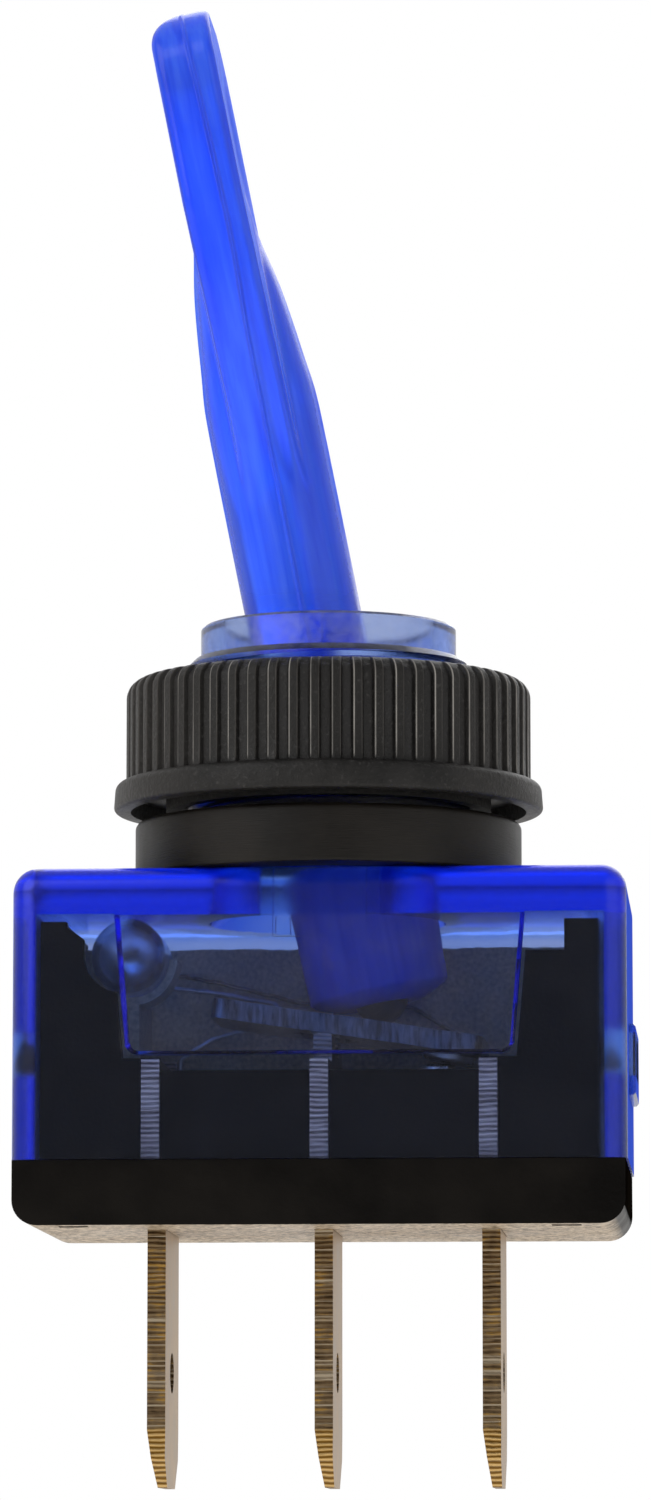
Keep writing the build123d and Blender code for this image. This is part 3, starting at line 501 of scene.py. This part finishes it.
def make_collar():
    low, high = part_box("spacer_collar")
    b, t = low.z / MM + SEAT_GAP, high.z / MM
    outer, inner = high.x / MM, COLLAR_INNER_R
    section = plain([(inner, b + COLLAR_CHAMFER), (inner + COLLAR_CHAMFER, b)])
    section += plain(arc(outer - COLLAR_FOOT_R, b + COLLAR_FOOT_R, COLLAR_FOOT_R, -90, 0, 3))
    section += plain(arc(outer - COLLAR_TOP_R, t - COLLAR_TOP_R, COLLAR_TOP_R, 0, 90, 6))
    section += plain([(inner + COLLAR_CHAMFER, t), (inner, t - COLLAR_CHAMFER)])
    collar = turned("collar", section, COLLAR_POINTS)
    settle(collar)
    return collar


# ---- materials ----
# Where a piece's finish, or the light and shade painted on it, changes, in metres: not yet at the first
# place, and wholly at the second. Sides are distances from the middle, the nut's painted side light is along
# X, the others heights.
WINDOW_SIDE, WINDOW_TOP = (0.0121, 0.0124), (-0.0049, -0.0046)
PAD_SIDE, PAD_FOOT = (0.0088, 0.0085), (-0.0109, -0.0107)
BUSHING_FOOT, BUSHING_TIP = (-0.0024, -0.0020), (0.0069, 0.0074)
# painted shade on the thread, just under the nut
PAINTED_SHADE_UNDER_NUT = (0.0034, 0.0018)
IN_COVER, OVER_RING, AT_TIP = (-0.001, -0.003), (0.0085, 0.0105), (0.0310, 0.0340)
ON_PADDLE = (0.010, 0.014)
GRIP_FOOT, GRIP_SIDE = (0.0019, 0.0021), (0.0083, 0.0087)
PAINTED_LIGHT_LEFT, PAINTED_LIGHT_RIGHT = (-0.0045, -0.0088), (0.0050, 0.0085)
# the base's hollow, which carries painted light, lies above its plate and within its walls
BASE_PLATE_TOP = (-0.0149, -0.0146)
BASE_WALL = {"X": (0.0116, 0.0115), "Y": (0.0053, 0.0052)}
# golden lead-ins below the first place; above the second the edges are inside the base and carry painted
# light
BLADE_LEAD_IN, BLADE_IN_BASE = (-0.02705, -0.02725), (-0.0156, -0.0153)

RIDGE_SCALE = 1430          # of the wave texture: one ridge each 0.22 mm along the blades' edges


def feed(tree, made, **inputs):
    """Sets a node's inputs, or links those whose value is another node's socket; i2 is the third input."""
    for key, value in inputs.items():
        numbered = key[0] == "i" and key[1:].isdigit()
        socket = made.inputs[int(key[1:]) if numbered else key.replace("_", " ")]
        if isinstance(value, bpy.types.NodeSocket):
            tree.links.new(value, socket)
        else:
            socket.default_value = value


def node(tree, kind, settings=None, **inputs):
    """A shader node with its settings and inputs."""
    made = tree.nodes.new(kind)
    for key, value in (settings or {}).items():
        setattr(made, key, value)
    feed(tree, made, **inputs)
    return made


def tree_of(name, **constants):
    """A new material, its tree and its shader, with what is the same all over the surface."""
    mat = bpy.data.materials.new(name)
    mat.use_nodes = True
    tree = mat.node_tree
    bsdf = tree.nodes["Principled BSDF"]
    feed(tree, bsdf, **constants)
    return mat, tree, bsdf


def place_of(tree, scale=(1, 1, 1), turn=0.0):
    """Coordinates fixed to the piece, in metres, turned about Y and then stretched by that scale."""
    return node(
        tree, "ShaderNodeMapping", {"vector_type": "TEXTURE"},
        Vector=node(tree, "ShaderNodeTexCoord").outputs["Object"],
        Rotation=(0, turn, 0), Scale=tuple(1 / share for share in scale),
    ).outputs["Vector"]


def split(tree, vector):
    return node(tree, "ShaderNodeSeparateXYZ", Vector=vector).outputs


def facing(tree):
    """The piece's own direction that a surface looks in."""
    return split(tree, node(tree, "ShaderNodeTexCoord").outputs["Normal"])


def noise(tree, vector, scale, detail=3.0, rough=0.55):
    made = node(tree, "ShaderNodeTexNoise", Vector=vector, Scale=scale, Detail=detail, Roughness=rough)
    return made.outputs["Fac"]


def ramp(tree, factor, stops):
    made = node(tree, "ShaderNodeValToRGB", Fac=factor)
    elements = made.color_ramp.elements
    while len(elements) < len(stops):
        elements.new(0.5)
    for element, (at, colour) in zip(elements, stops):
        element.position = at
        element.color = (*colour, 1)
    return made.outputs["Color"]


def maths(tree, operation, a, b=0.0, c=0.0):
    return node(tree, "ShaderNodeMath", {"operation": operation}, i0=a, i1=b, i2=c).outputs[0]


def rest_of(tree, share):
    """What a share leaves of 1."""
    return maths(tree, "SUBTRACT", 1.0, share)


def mixed(tree, factor, a, b):
    """A colour between two others, by that factor."""
    return node(tree, "ShaderNodeMix", {"data_type": "RGBA"}, Factor=factor, i6=a, i7=b).outputs[2]


def between(tree, factor, a, b):
    """A number between two others, by that factor."""
    return node(tree, "ShaderNodeMix", Factor=factor, A=a, B=b).outputs[0]


def spread(tree, factor, low, high, at=(0.3, 0.7)):
    """Maps a factor to a range of numbers, level beyond both ends."""
    ends = {"From_Min": at[0], "From_Max": at[1], "To_Min": low, "To_Max": high}
    return node(tree, "ShaderNodeMapRange", Value=factor, **ends).outputs["Result"]


def mask(tree, value, at):
    """0 up to the first place, rising to 1 at the second."""
    return spread(tree, value, 0.0, 1.0, at)


def level(tree, share, off, on):
    """A number that goes from off to on as a mask goes from 0 to 1."""
    return spread(tree, share, off, on, (0.0, 1.0))


def bump(tree, bsdf, height, strength, distance):
    made = node(tree, "ShaderNodeBump", Height=height, Strength=strength, Distance=distance)
    feed(tree, bsdf, Normal=made.outputs["Normal"])


def outer_side(tree):
    """1 on the outside of a surface."""
    return rest_of(tree, node(tree, "ShaderNodeNewGeometry").outputs["Backfacing"])


def looks_along_x(tree, at=(0.90, 0.96)):
    """1 on the faces that look along X, either way."""
    return mask(tree, maths(tree, "ABSOLUTE", facing(tree)["X"]), at)


def edge_on_painted_out(tree):
    """1 on the two end faces where they are seen edge on, where their reflection is painted out."""
    flat = mask(tree, node(tree, "ShaderNodeLayerWeight", Blend=0.5).outputs["Facing"], (0.78, 0.88))
    return maths(tree, "MULTIPLY", maths(tree, "MULTIPLY", looks_along_x(tree), outer_side(tree)), flat)


def clear_body(name, absorbed, density, wave=0.06):
    """Clear plastic or glass, faintly wavy, whose colour comes from the depth that light crosses."""
    mat, tree, bsdf = tree_of(name, Transmission_Weight=1.0, IOR=1.5)
    at = place_of(tree)
    bump(tree, bsdf, noise(tree, at, 420, 2.0), wave, 0.0002)
    volume = node(tree, "ShaderNodeVolumeAbsorption", Color=(*absorbed, 1), Density=density)
    feed(tree, tree.nodes["Material Output"], Volume=volume.outputs["Volume"])
    return mat, tree, bsdf, at


def lamp_glass(name, absorbed, density, roughness):
    mat, tree, bsdf, at = clear_body(name, absorbed, density, 0.05)
    clear = ramp(tree, noise(tree, at, 900), [(0.3, (0.93, 0.94, 0.98)), (0.7, (1.0, 1.0, 1.0))])
    feed(tree, bsdf, Base_Color=clear, Roughness=spread(tree, noise(tree, at, 2600), *roughness))
    return mat


def cover_plastic():
    """The cover's blue: clear in the window, softer round it and hazy at the tip, darker on the thread and
    near black just under the nut as painted shade, and a painted deep blue on the end faces seen edge on.
    """
    mat, tree, bsdf, at = clear_body("cover plastic", (0.0, 0.44, 0.995), 400)
    place = split(tree, at)
    height, aside = place["Z"], maths(tree, "ABSOLUTE", place["X"])
    around = maths(tree, "MAXIMUM", mask(tree, aside, WINDOW_SIDE), mask(tree, height, WINDOW_TOP))
    bushing, tip = mask(tree, height, BUSHING_FOOT), mask(tree, height, BUSHING_TIP)
    # painted shade: the thread just under the nut is drawn near black
    shade = maths(tree, "MULTIPLY", bushing, mask(tree, height, PAINTED_SHADE_UNDER_NUT))
    # end faces seen edge on, off the bushing: painted deep blue with no gloss, in place of their reflection
    edge = maths(tree, "MULTIPLY", edge_on_painted_out(tree), rest_of(tree, bushing))
    cloud, fine = noise(tree, at, 900), noise(tree, at, 2600)
    clear = ramp(tree, cloud, [(0.3, (0.90, 0.87, 0.98)), (0.7, (0.97, 0.92, 1.0))])
    wall = ramp(tree, cloud, [(0.3, (0.48, 0.63, 0.98)), (0.7, (0.56, 0.70, 1.0))])
    # painted shade: the bushing and its thread are drawn a darker blue
    deep = ramp(tree, cloud, [(0.3, (0.20, 0.24, 0.42)), (0.7, (0.28, 0.32, 0.50))])
    hazy = ramp(tree, cloud, [(0.3, (0.61, 0.67, 0.98)), (0.7, (0.71, 0.76, 1.0))])
    colour = mixed(tree, bushing, mixed(tree, around, clear, wall), deep)
    colour = mixed(tree, shade, mixed(tree, tip, colour, hazy), (0.05, 0.05, 0.09, 1))
    colour = mixed(tree, edge, colour, (0.03, 0.085, 0.66, 1))
    # a film of dust in the window, most of all on its pad, and more of it on the tip; on the end faces seen
    # edge on, a painted deep blue that takes the place of their reflection
    pad = maths(tree, "MULTIPLY", mask(tree, height, PAD_FOOT), mask(tree, aside, PAD_SIDE))
    dust = maths(tree, "MULTIPLY", spread(tree, cloud, 0.006, 0.002), rest_of(tree, around))
    dust = maths(tree, "MULTIPLY", dust, level(tree, pad, 1.0, 4.4))
    dust = maths(tree, "MULTIPLY_ADD", tip, spread(tree, fine, 0.02, 0.13), dust)
    dust = maths(tree, "MAXIMUM", dust, maths(tree, "MULTIPLY", edge, 0.95))
    rough = maths(tree, "MULTIPLY_ADD", around, 0.20, spread(tree, fine, 0.02, 0.07))
    rough = maths(tree, "MULTIPLY_ADD", tip, -0.11, rough)
    feed(tree, bsdf, Base_Color=colour, Roughness=rough, Transmission_Weight=rest_of(tree, dust),
         Specular_IOR_Level=level(tree, edge, 0.5, 0.0))
    return mat


def lever_plastic():
    """The lever's blue: streaky and slightly cloudy in the open, and duller down in the cover."""
    mat, tree, bsdf, at = clear_body("lever plastic", (0.0, 0.60, 1.0), 250)
    height = split(tree, at)["Z"]
    inside = mask(tree, height, IN_COVER)
    # the broad faces of the paddle are matt
    matt = maths(tree, "MULTIPLY", looks_along_x(tree), mask(tree, height, ON_PADDLE))
    # clearest where the cover's tip goes round it, cloudier at its own tip and outside on those faces
    clearness = spread(tree, height, 0.90, 0.62, OVER_RING)
    outer_matt = maths(tree, "MULTIPLY", matt, outer_side(tree))
    for share, low in ((inside, 0.34), (outer_matt, 0.15), (mask(tree, height, AT_TIP), 0.62)):
        clearness = maths(tree, "MULTIPLY", clearness, level(tree, share, 1.0, low))
    streaks = noise(tree, place_of(tree, (1, 0.4, 0.06), -TILT), 1500, 4.0, 0.6)
    dye = ramp(
        tree, streaks, [(0.3, (0.020, 0.082, 0.86)), (0.5, (0.042, 0.138, 0.99)), (0.7, (0.075, 0.205, 1.0))]
    )
    rough = spread(tree, noise(tree, at, 2600), 0.18, 0.26)
    rough = maths(tree, "MULTIPLY_ADD", maths(tree, "MAXIMUM", inside, matt), 0.3, rough)
    feed(tree, bsdf, Base_Color=dye, Roughness=rough, Transmission_Weight=clearness,
         Specular_IOR_Level=level(tree, matt, 0.32, 0.03))
    return mat


def collar_plastic():
    """Moulded black plastic with a fine grain drawn out round the collar, and faint clouding."""
    mat, tree, bsdf = tree_of("collar plastic", Specular_IOR_Level=0.25)
    fine = noise(tree, place_of(tree, (0.3, 0.3, 6)), 4200, 4.0, 0.6)
    cloud = noise(tree, place_of(tree), 260)
    tone = maths(tree, "MULTIPLY_ADD", fine, 0.35, cloud)
    black = ramp(tree, tone, [(0.5, (0.0040, 0.0029, 0.0020)), (0.9, (0.0135, 0.0108, 0.0082))])
    feed(tree, bsdf, Base_Color=black, Roughness=spread(tree, cloud, 0.29, 0.45))
    bump(tree, bsdf, fine, 0.45, 0.00006)
    return mat


def nut_plastic():
    """Black plastic with a coarse grain; painted highlights on the ribs' corners, painted shade on the
    grooves' walls, painted light on both sides.
    """
    mat, tree, bsdf = tree_of("nut plastic", Specular_IOR_Level=0.32)
    at = place_of(tree)
    place = split(tree, at)
    turn = maths(tree, "MULTIPLY", maths(tree, "ARCTAN2", place["Y"], place["X"]), NUT_RIBS / (2 * math.pi))
    # painted highlights on each rib's corners, strong on one side and faint on the other, and painted shade
    # on the grooves' walls beside them
    rib_highlights_and_shade = ramp(
        tree, maths(tree, "FRACT", turn),
        [(0.00, (0.012, 0.011, 0.010)), (0.15, (0.012, 0.011, 0.010)), (0.19, (0.060, 0.055, 0.050)),
         (0.24, (0.004, 0.0036, 0.0033)), (0.34, (0.017, 0.016, 0.016)), (0.62, (0.020, 0.019, 0.019)),
         (0.70, (0.003, 0.0027, 0.0025)), (0.775, (0.002, 0.0018, 0.0016)), (0.82, (0.34, 0.32, 0.295)),
         (0.865, (0.012, 0.011, 0.010))],
    )
    flat = node(tree, "ShaderNodeVectorMath", {"operation": "MULTIPLY"}, i0=at, i1=(1, 1, 0)).outputs[0]
    radius = node(tree, "ShaderNodeVectorMath", {"operation": "LENGTH"}, i0=flat).outputs["Value"]
    grip = maths(tree, "MULTIPLY", mask(tree, place["Z"], GRIP_FOOT), mask(tree, radius, GRIP_SIDE))
    fine = noise(tree, at, 5200, 4.0, 0.62)
    # noise that fades the painted highlights and shade to a plain dark here and there
    worn = noise(tree, place_of(tree, (1, 1, 0.25)), 900)
    dull = mixed(tree, spread(tree, worn, 0.65, 0.0, (0.40, 0.62)), rib_highlights_and_shade, (0.010, 0.009, 0.008, 1))
    black = ramp(
        tree, noise(tree, at, 700), [(0.35, (0.0055, 0.0050, 0.0046)), (0.65, (0.0140, 0.0128, 0.0120))]
    )
    colour = mixed(tree, grip, black, dull)
    specks = ramp(tree, fine, [(0.58, (0, 0, 0)), (0.70, (1, 1, 1))])
    colour = mixed(tree, maths(tree, "MULTIPLY", specks, 0.34), colour, (0.07, 0.066, 0.064, 1))
    # painted light on the nut's two sides, stronger on the left
    painted_side_light = maths(tree, "ADD", spread(tree, place["X"], 0.0, 0.34, PAINTED_LIGHT_LEFT),
                   spread(tree, place["X"], 0.0, 0.14, PAINTED_LIGHT_RIGHT))
    colour = mixed(tree, painted_side_light, colour, (0.085, 0.078, 0.071, 1))
    feed(tree, bsdf, Base_Color=colour, Roughness=spread(tree, fine, 0.50, 0.36))
    bump(tree, bsdf, fine, 0.7, 0.00008)
    return mat


def base_plastic():
    """Black plastic, paler and browner with specks on faces that look down, partly dust and partly a painted
    reflection of the floor, and painted light in the hollow, drawn pale since little light reaches it.
    """
    mat, tree, bsdf = tree_of("base plastic")
    at = place_of(tree)
    place = split(tree, at)
    under = mask(tree, facing(tree)["Z"], (-0.75, -0.98))
    # the hollow, above the plate and within the walls
    inside = mask(tree, place["Z"], BASE_PLATE_TOP)
    for axis, wall in BASE_WALL.items():
        inside = maths(tree, "MULTIPLY", inside, mask(tree, maths(tree, "ABSOLUTE", place[axis]), wall))
    fine, cloud = noise(tree, at, 5200, 4.0, 0.6), noise(tree, at, 260)
    specks = maths(tree, "MULTIPLY_ADD", fine, 0.7, noise(tree, at, 2600))
    black = ramp(tree, cloud, [(0.35, (0.0018, 0.0012, 0.0008)), (0.65, (0.0056, 0.0042, 0.0030))])
    # faces that look down: pale brown with specks, partly dust and partly a painted reflection of the pale
    # floor
    dust_and_painted_reflection = ramp(
        tree, specks, [(0.70, (0.17, 0.125, 0.08)), (0.80, (0.40, 0.30, 0.195)), (0.97, (0.70, 0.58, 0.44))]
    )
    # painted light in the hollow: pale brown in place of the light that does not reach the black plastic
    # there
    hollow = ramp(tree, fine, [(0.35, (0.62, 0.50, 0.31)), (0.65, (0.92, 0.78, 0.52))])
    colour = mixed(tree, inside, mixed(tree, under, black, dust_and_painted_reflection), hollow)
    # no gloss on the end faces seen edge on: their reflection is painted out
    feed(tree, bsdf, Base_Color=colour, Roughness=spread(tree, cloud, 0.34, 0.48),
         Specular_IOR_Level=level(tree, edge_on_painted_out(tree), 0.12, 0.0))
    bump(tree, bsdf, fine, 0.22, 0.00006)
    return mat


def terminal_metal():
    """Brass sheet: pale rolled faces, sheared edges with cross lines, golden ridged lead-ins, and painted
    light, drawn pale, on the edges inside the base.
    """
    mat, tree, bsdf = tree_of("terminal brass", Metallic=1.0)
    at = place_of(tree)
    height = split(tree, at)["Z"]
    face = looks_along_x(tree, (0.8, 0.9))
    lines = noise(tree, place_of(tree, (60, 60, 1000)), 5.0, 4.0, 0.7)
    ridges = node(
        tree, "ShaderNodeTexWave", {"bands_direction": "Z"},
        Vector=at, Scale=RIDGE_SCALE, Distortion=2.5, Detail=2.0, Detail_Scale=0.6,
    ).outputs["Fac"]
    patches = noise(tree, place_of(tree, (1000, 1000, 600)), 0.9)
    scratch = noise(tree, place_of(tree, (8, 8, 1000)), 1.3, 1.0)
    bright = ramp(tree, scratch, [(0.50, (0, 0, 0)), (0.515, (1, 1, 1)), (0.53, (0, 0, 0))])
    tone = maths(tree, "MULTIPLY", lines, 0.6)
    tone = maths(tree, "MULTIPLY_ADD", patches, 0.5, tone)
    tone = maths(tree, "MULTIPLY_ADD", ridges, 0.10, tone)
    sheared = ramp(
        tree, tone,
        [(0.42, (0.040, 0.025, 0.012)), (0.54, (0.15, 0.10, 0.055)), (0.63, (0.22, 0.155, 0.085)),
         (0.70, (0.38, 0.22, 0.05)), (0.80, (0.42, 0.31, 0.19))],
    )
    sheared = mixed(tree, bright, sheared, (0.44, 0.37, 0.27, 1))
    golden = ramp(
        tree, ridges, [(0.1, (0.20, 0.10, 0.018)), (0.5, (0.43, 0.26, 0.085)), (0.9, (0.74, 0.50, 0.21))]
    )
    # painted light on the edges inside the base, which little light reaches: far paler than the brass outside
    painted_light_inside = ramp(
        tree, between(tree, 0.22, lines, ridges),
        [(0.34, (0.22, 0.17, 0.14)), (0.5, (0.66, 0.52, 0.42)), (0.68, (1.0, 0.84, 0.68))],
    )
    edge = mixed(tree, mask(tree, height, BLADE_LEAD_IN), sheared, golden)
    edge = mixed(tree, mask(tree, height, BLADE_IN_BASE), edge, painted_light_inside)
    rolled = ramp(tree, patches, [(0.3, (0.46, 0.345, 0.235)), (0.7, (0.62, 0.48, 0.34))])
    colour = mixed(tree, face, edge, rolled)
    feed(tree, bsdf, Base_Color=colour, Roughness=spread(tree, patches, 0.32, 0.48))
    relief = maths(tree, "MULTIPLY", maths(tree, "ADD", lines, ridges), rest_of(tree, face))
    bump(tree, bsdf, relief, 0.6, 0.00008)
    return mat


def metal(name, dark, light, roughness, scale=(1, 1, 1), grain=1200, relief=0.2):
    """Worn metal, with a fine grain between two tones."""
    mat, tree, bsdf = tree_of(name, Metallic=1.0)
    grained = noise(tree, place_of(tree, scale), grain, 4.0, 0.6)
    feed(tree, bsdf, Base_Color=ramp(tree, grained, [(0.35, dark), (0.65, light)]),
         Roughness=spread(tree, grained, roughness - 0.06, roughness + 0.08))
    bump(tree, bsdf, grained, relief, 0.00005)
    return mat


def plunger_plastic():
    mat, tree, bsdf = tree_of("plunger plastic")
    cloud = noise(tree, place_of(tree), 1500)
    black = ramp(tree, cloud, [(0.3, (0.020, 0.021, 0.026)), (0.7, (0.045, 0.047, 0.055))])
    feed(tree, bsdf, Base_Color=black, Roughness=spread(tree, cloud, 0.35, 0.5))
    return mat


# ---- pieces ----
def put(obj, mat, body, slot, *replaced):
    """Gives a made piece its material and its body, and hides the CAD nodes that it stands for; slot is not
    used.
    """
    obj.data.materials.clear()
    obj.data.materials.append(mat)
    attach(obj, body)
    if replaced:
        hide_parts(*replaced)


def paint(node_name, mat):
    """Gives a CAD node that stays a better material."""
    obj = nodes[node_name]
    if not obj.material_slots:
        obj.data.materials.append(mat)
    for place in obj.material_slots:
        place.material = mat


steel = metal("spring steel", (0.42, 0.42, 0.43), (0.62, 0.62, 0.63), 0.3)
put(make_cover(), cover_plastic(), "switch_body", "cover_plastic", "housing_cover")
put(make_lever(), lever_plastic(), "toggle", "lever_plastic", "toggle_lever")
put(make_nut(), nut_plastic(), "nut", "nut_plastic", "retaining_nut")
put(make_collar(), collar_plastic(), "switch_body", "collar_plastic", "spacer_collar")
spring = copy_of("plunger_spring", "spring")
put(spring, steel, "toggle", "spring_steel", "plunger_spring")
shorten(spring)

brass = terminal_metal()
silver = metal("contact silver", (0.62, 0.60, 0.56), (0.80, 0.79, 0.77), 0.28)
for cad_node, finish in {
    "base_body": base_plastic(),
    "supply_terminal": brass,
    "load_terminal": brass,
    "ground_terminal": brass,
    "rocker_contact": metal(
        "rocker brass", (0.075, 0.075, 0.080), (0.36, 0.36, 0.38), 0.34, (6, 1, 1), grain=900, relief=0.5
    ),
    "moving_contact_button": silver,
    "load_contact_button": silver,
    "contact_plunger": plunger_plastic(),
    "lamp_glass": lamp_glass("lamp glass", (0.5, 0.58, 0.8), 600, (0.18, 0.27)),
    "lamp_bead": lamp_glass("bead glass", (0.5, 0.8, 0.7), 200, (0.02, 0.05)),
    "lamp_filament": metal("filament wire", (0.10, 0.10, 0.11), (0.22, 0.22, 0.23), 0.45),
    # the lamp's two leads are one wire: the load lead is drawn dark as painted shade and the ground lead pale
    # as a painted highlight
    "lamp_lead_load": metal("lead wire", (0.10, 0.09, 0.085), (0.30, 0.28, 0.26), 0.42),
    "lamp_lead_ground": metal("bright lead wire", (0.70, 0.66, 0.60), (0.92, 0.90, 0.86), 0.38),
}.items():
    paint(cad_node, finish)


# ---- stage, light and camera ----
WORLD_LIGHT = 0.66          # the surround's strength as light on the object
ROOM_IN_GLOSS = 0.10        # what gloss shows of the dark room in front
BACK_IN_GLOSS = 0.62        # and of the backdrop
GLOSS_TURN = (-0.35, 0.45)  # Y of the directions between which the one passes into the other
EVEN_SHARE = 0.55           # of the floor's look, that does not depend on the lamps

FLOOR_HALF = 4000           # millimetres, as is the next
FLOOR_Z = -45               # below the camera, which looks up at the part

CAMERA_AZIMUTH, CAMERA_ELEVATION = 3.9, -7.5    # degrees
CAMERA_DISTANCE = 0.290
CAMERA_AIM = (-0.00014, 0, 0.0034)
CAMERA_LENS = 154.5
CAMERA_CLIP = (0.01, 20)


def make_floor():
    half, z = FLOOR_HALF, FLOOR_Z
    corners = [(-half, -half, z), (half, -half, z), (half, half, z), (-half, half, z)]
    floor = mesh_object("floor", corners, [(0, 1, 2, 3)])
    mat, tree, bsdf = tree_of("floor", Roughness=0.9)
    cloud = noise(tree, place_of(tree), 3)
    feed(tree, bsdf, Base_Color=ramp(tree, cloud, [(0.3, (0.88, 0.86, 0.83)), (0.7, (0.92, 0.90, 0.87))]))
    # part of what the camera sees is an even white, and from underneath the floor is not there
    seen = node(tree, "ShaderNodeLightPath").outputs["Is Camera Ray"]
    even = node(tree, "ShaderNodeEmission", Color=(0.93, 0.92, 0.90, 1), Strength=1.0)
    top = node(
        tree, "ShaderNodeMixShader",
        Fac=maths(tree, "MULTIPLY", seen, EVEN_SHARE), i1=bsdf.outputs[0], i2=even.outputs[0],
    )
    beneath = node(tree, "ShaderNodeNewGeometry").outputs["Backfacing"]
    gone = node(tree, "ShaderNodeBsdfTransparent")
    surface = node(tree, "ShaderNodeMixShader", Fac=beneath, i1=top.outputs[0], i2=gone.outputs[0])
    feed(tree, tree.nodes["Material Output"], Surface=surface.outputs[0])
    floor.data.materials.append(mat)


def make_world():
    """A studio: white to the eye and through glass, and in gloss a pale backdrop behind a dark room."""
    world = bpy.data.worlds.new("surround")
    bpy.context.scene.world = world
    world.use_nodes = True
    tree = world.node_tree
    path = node(tree, "ShaderNodeLightPath").outputs
    behind = split(tree, node(tree, "ShaderNodeTexCoord").outputs["Generated"])["Y"]
    in_gloss = spread(tree, behind, ROOM_IN_GLOSS, BACK_IN_GLOSS, GLOSS_TURN)
    seen = maths(tree, "MAXIMUM", path["Is Camera Ray"], path["Is Transmission Ray"])
    strength = between(tree, path["Is Glossy Ray"], between(tree, seen, WORLD_LIGHT, 1.0), in_gloss)
    feed(tree, tree.nodes["Background"], Color=(1, 1, 1, 1), Strength=strength)


def soft_lamp(name, place, size, watts):
    """A square lamp that looks at the middle of the row frame."""
    data = bpy.data.lights.new(name, "AREA")
    data.size = size
    data.energy = watts
    lamp = bpy.data.objects.new(name, data)
    lamp.location = place
    lamp.rotation_mode = "QUATERNION"
    lamp.rotation_quaternion = (-Vector(place)).to_track_quat("-Z", "Y")
    bpy.context.scene.collection.objects.link(lamp)


def make_camera():
    """The camera, at the photograph's angle."""
    azimuth, elevation = math.radians(CAMERA_AZIMUTH), math.radians(CAMERA_ELEVATION)
    level_part = math.cos(elevation)
    back = Vector((math.sin(azimuth) * level_part, -math.cos(azimuth) * level_part, math.sin(elevation)))
    data = bpy.data.cameras.new("camera")
    data.lens = CAMERA_LENS
    data.clip_start, data.clip_end = CAMERA_CLIP
    camera = bpy.data.objects.new("camera", data)
    camera.location = Vector(CAMERA_AIM) + back * CAMERA_DISTANCE
    camera.rotation_mode = "QUATERNION"
    camera.rotation_quaternion = (-back).to_track_quat("-Z", "Y")
    bpy.context.scene.collection.objects.link(camera)
    bpy.context.scene.camera = camera


make_floor()
make_world()
soft_lamp("key", (-0.40, -0.40, 0.36), 0.60, 1.8)
soft_lamp("fill", (0.45, -0.35, 0.15), 0.60, 0.6)
soft_lamp("back", (0.10, 0.50, 0.35), 0.50, 1.0)
make_camera()
bpy.context.scene.view_settings.view_transform = "Standard"
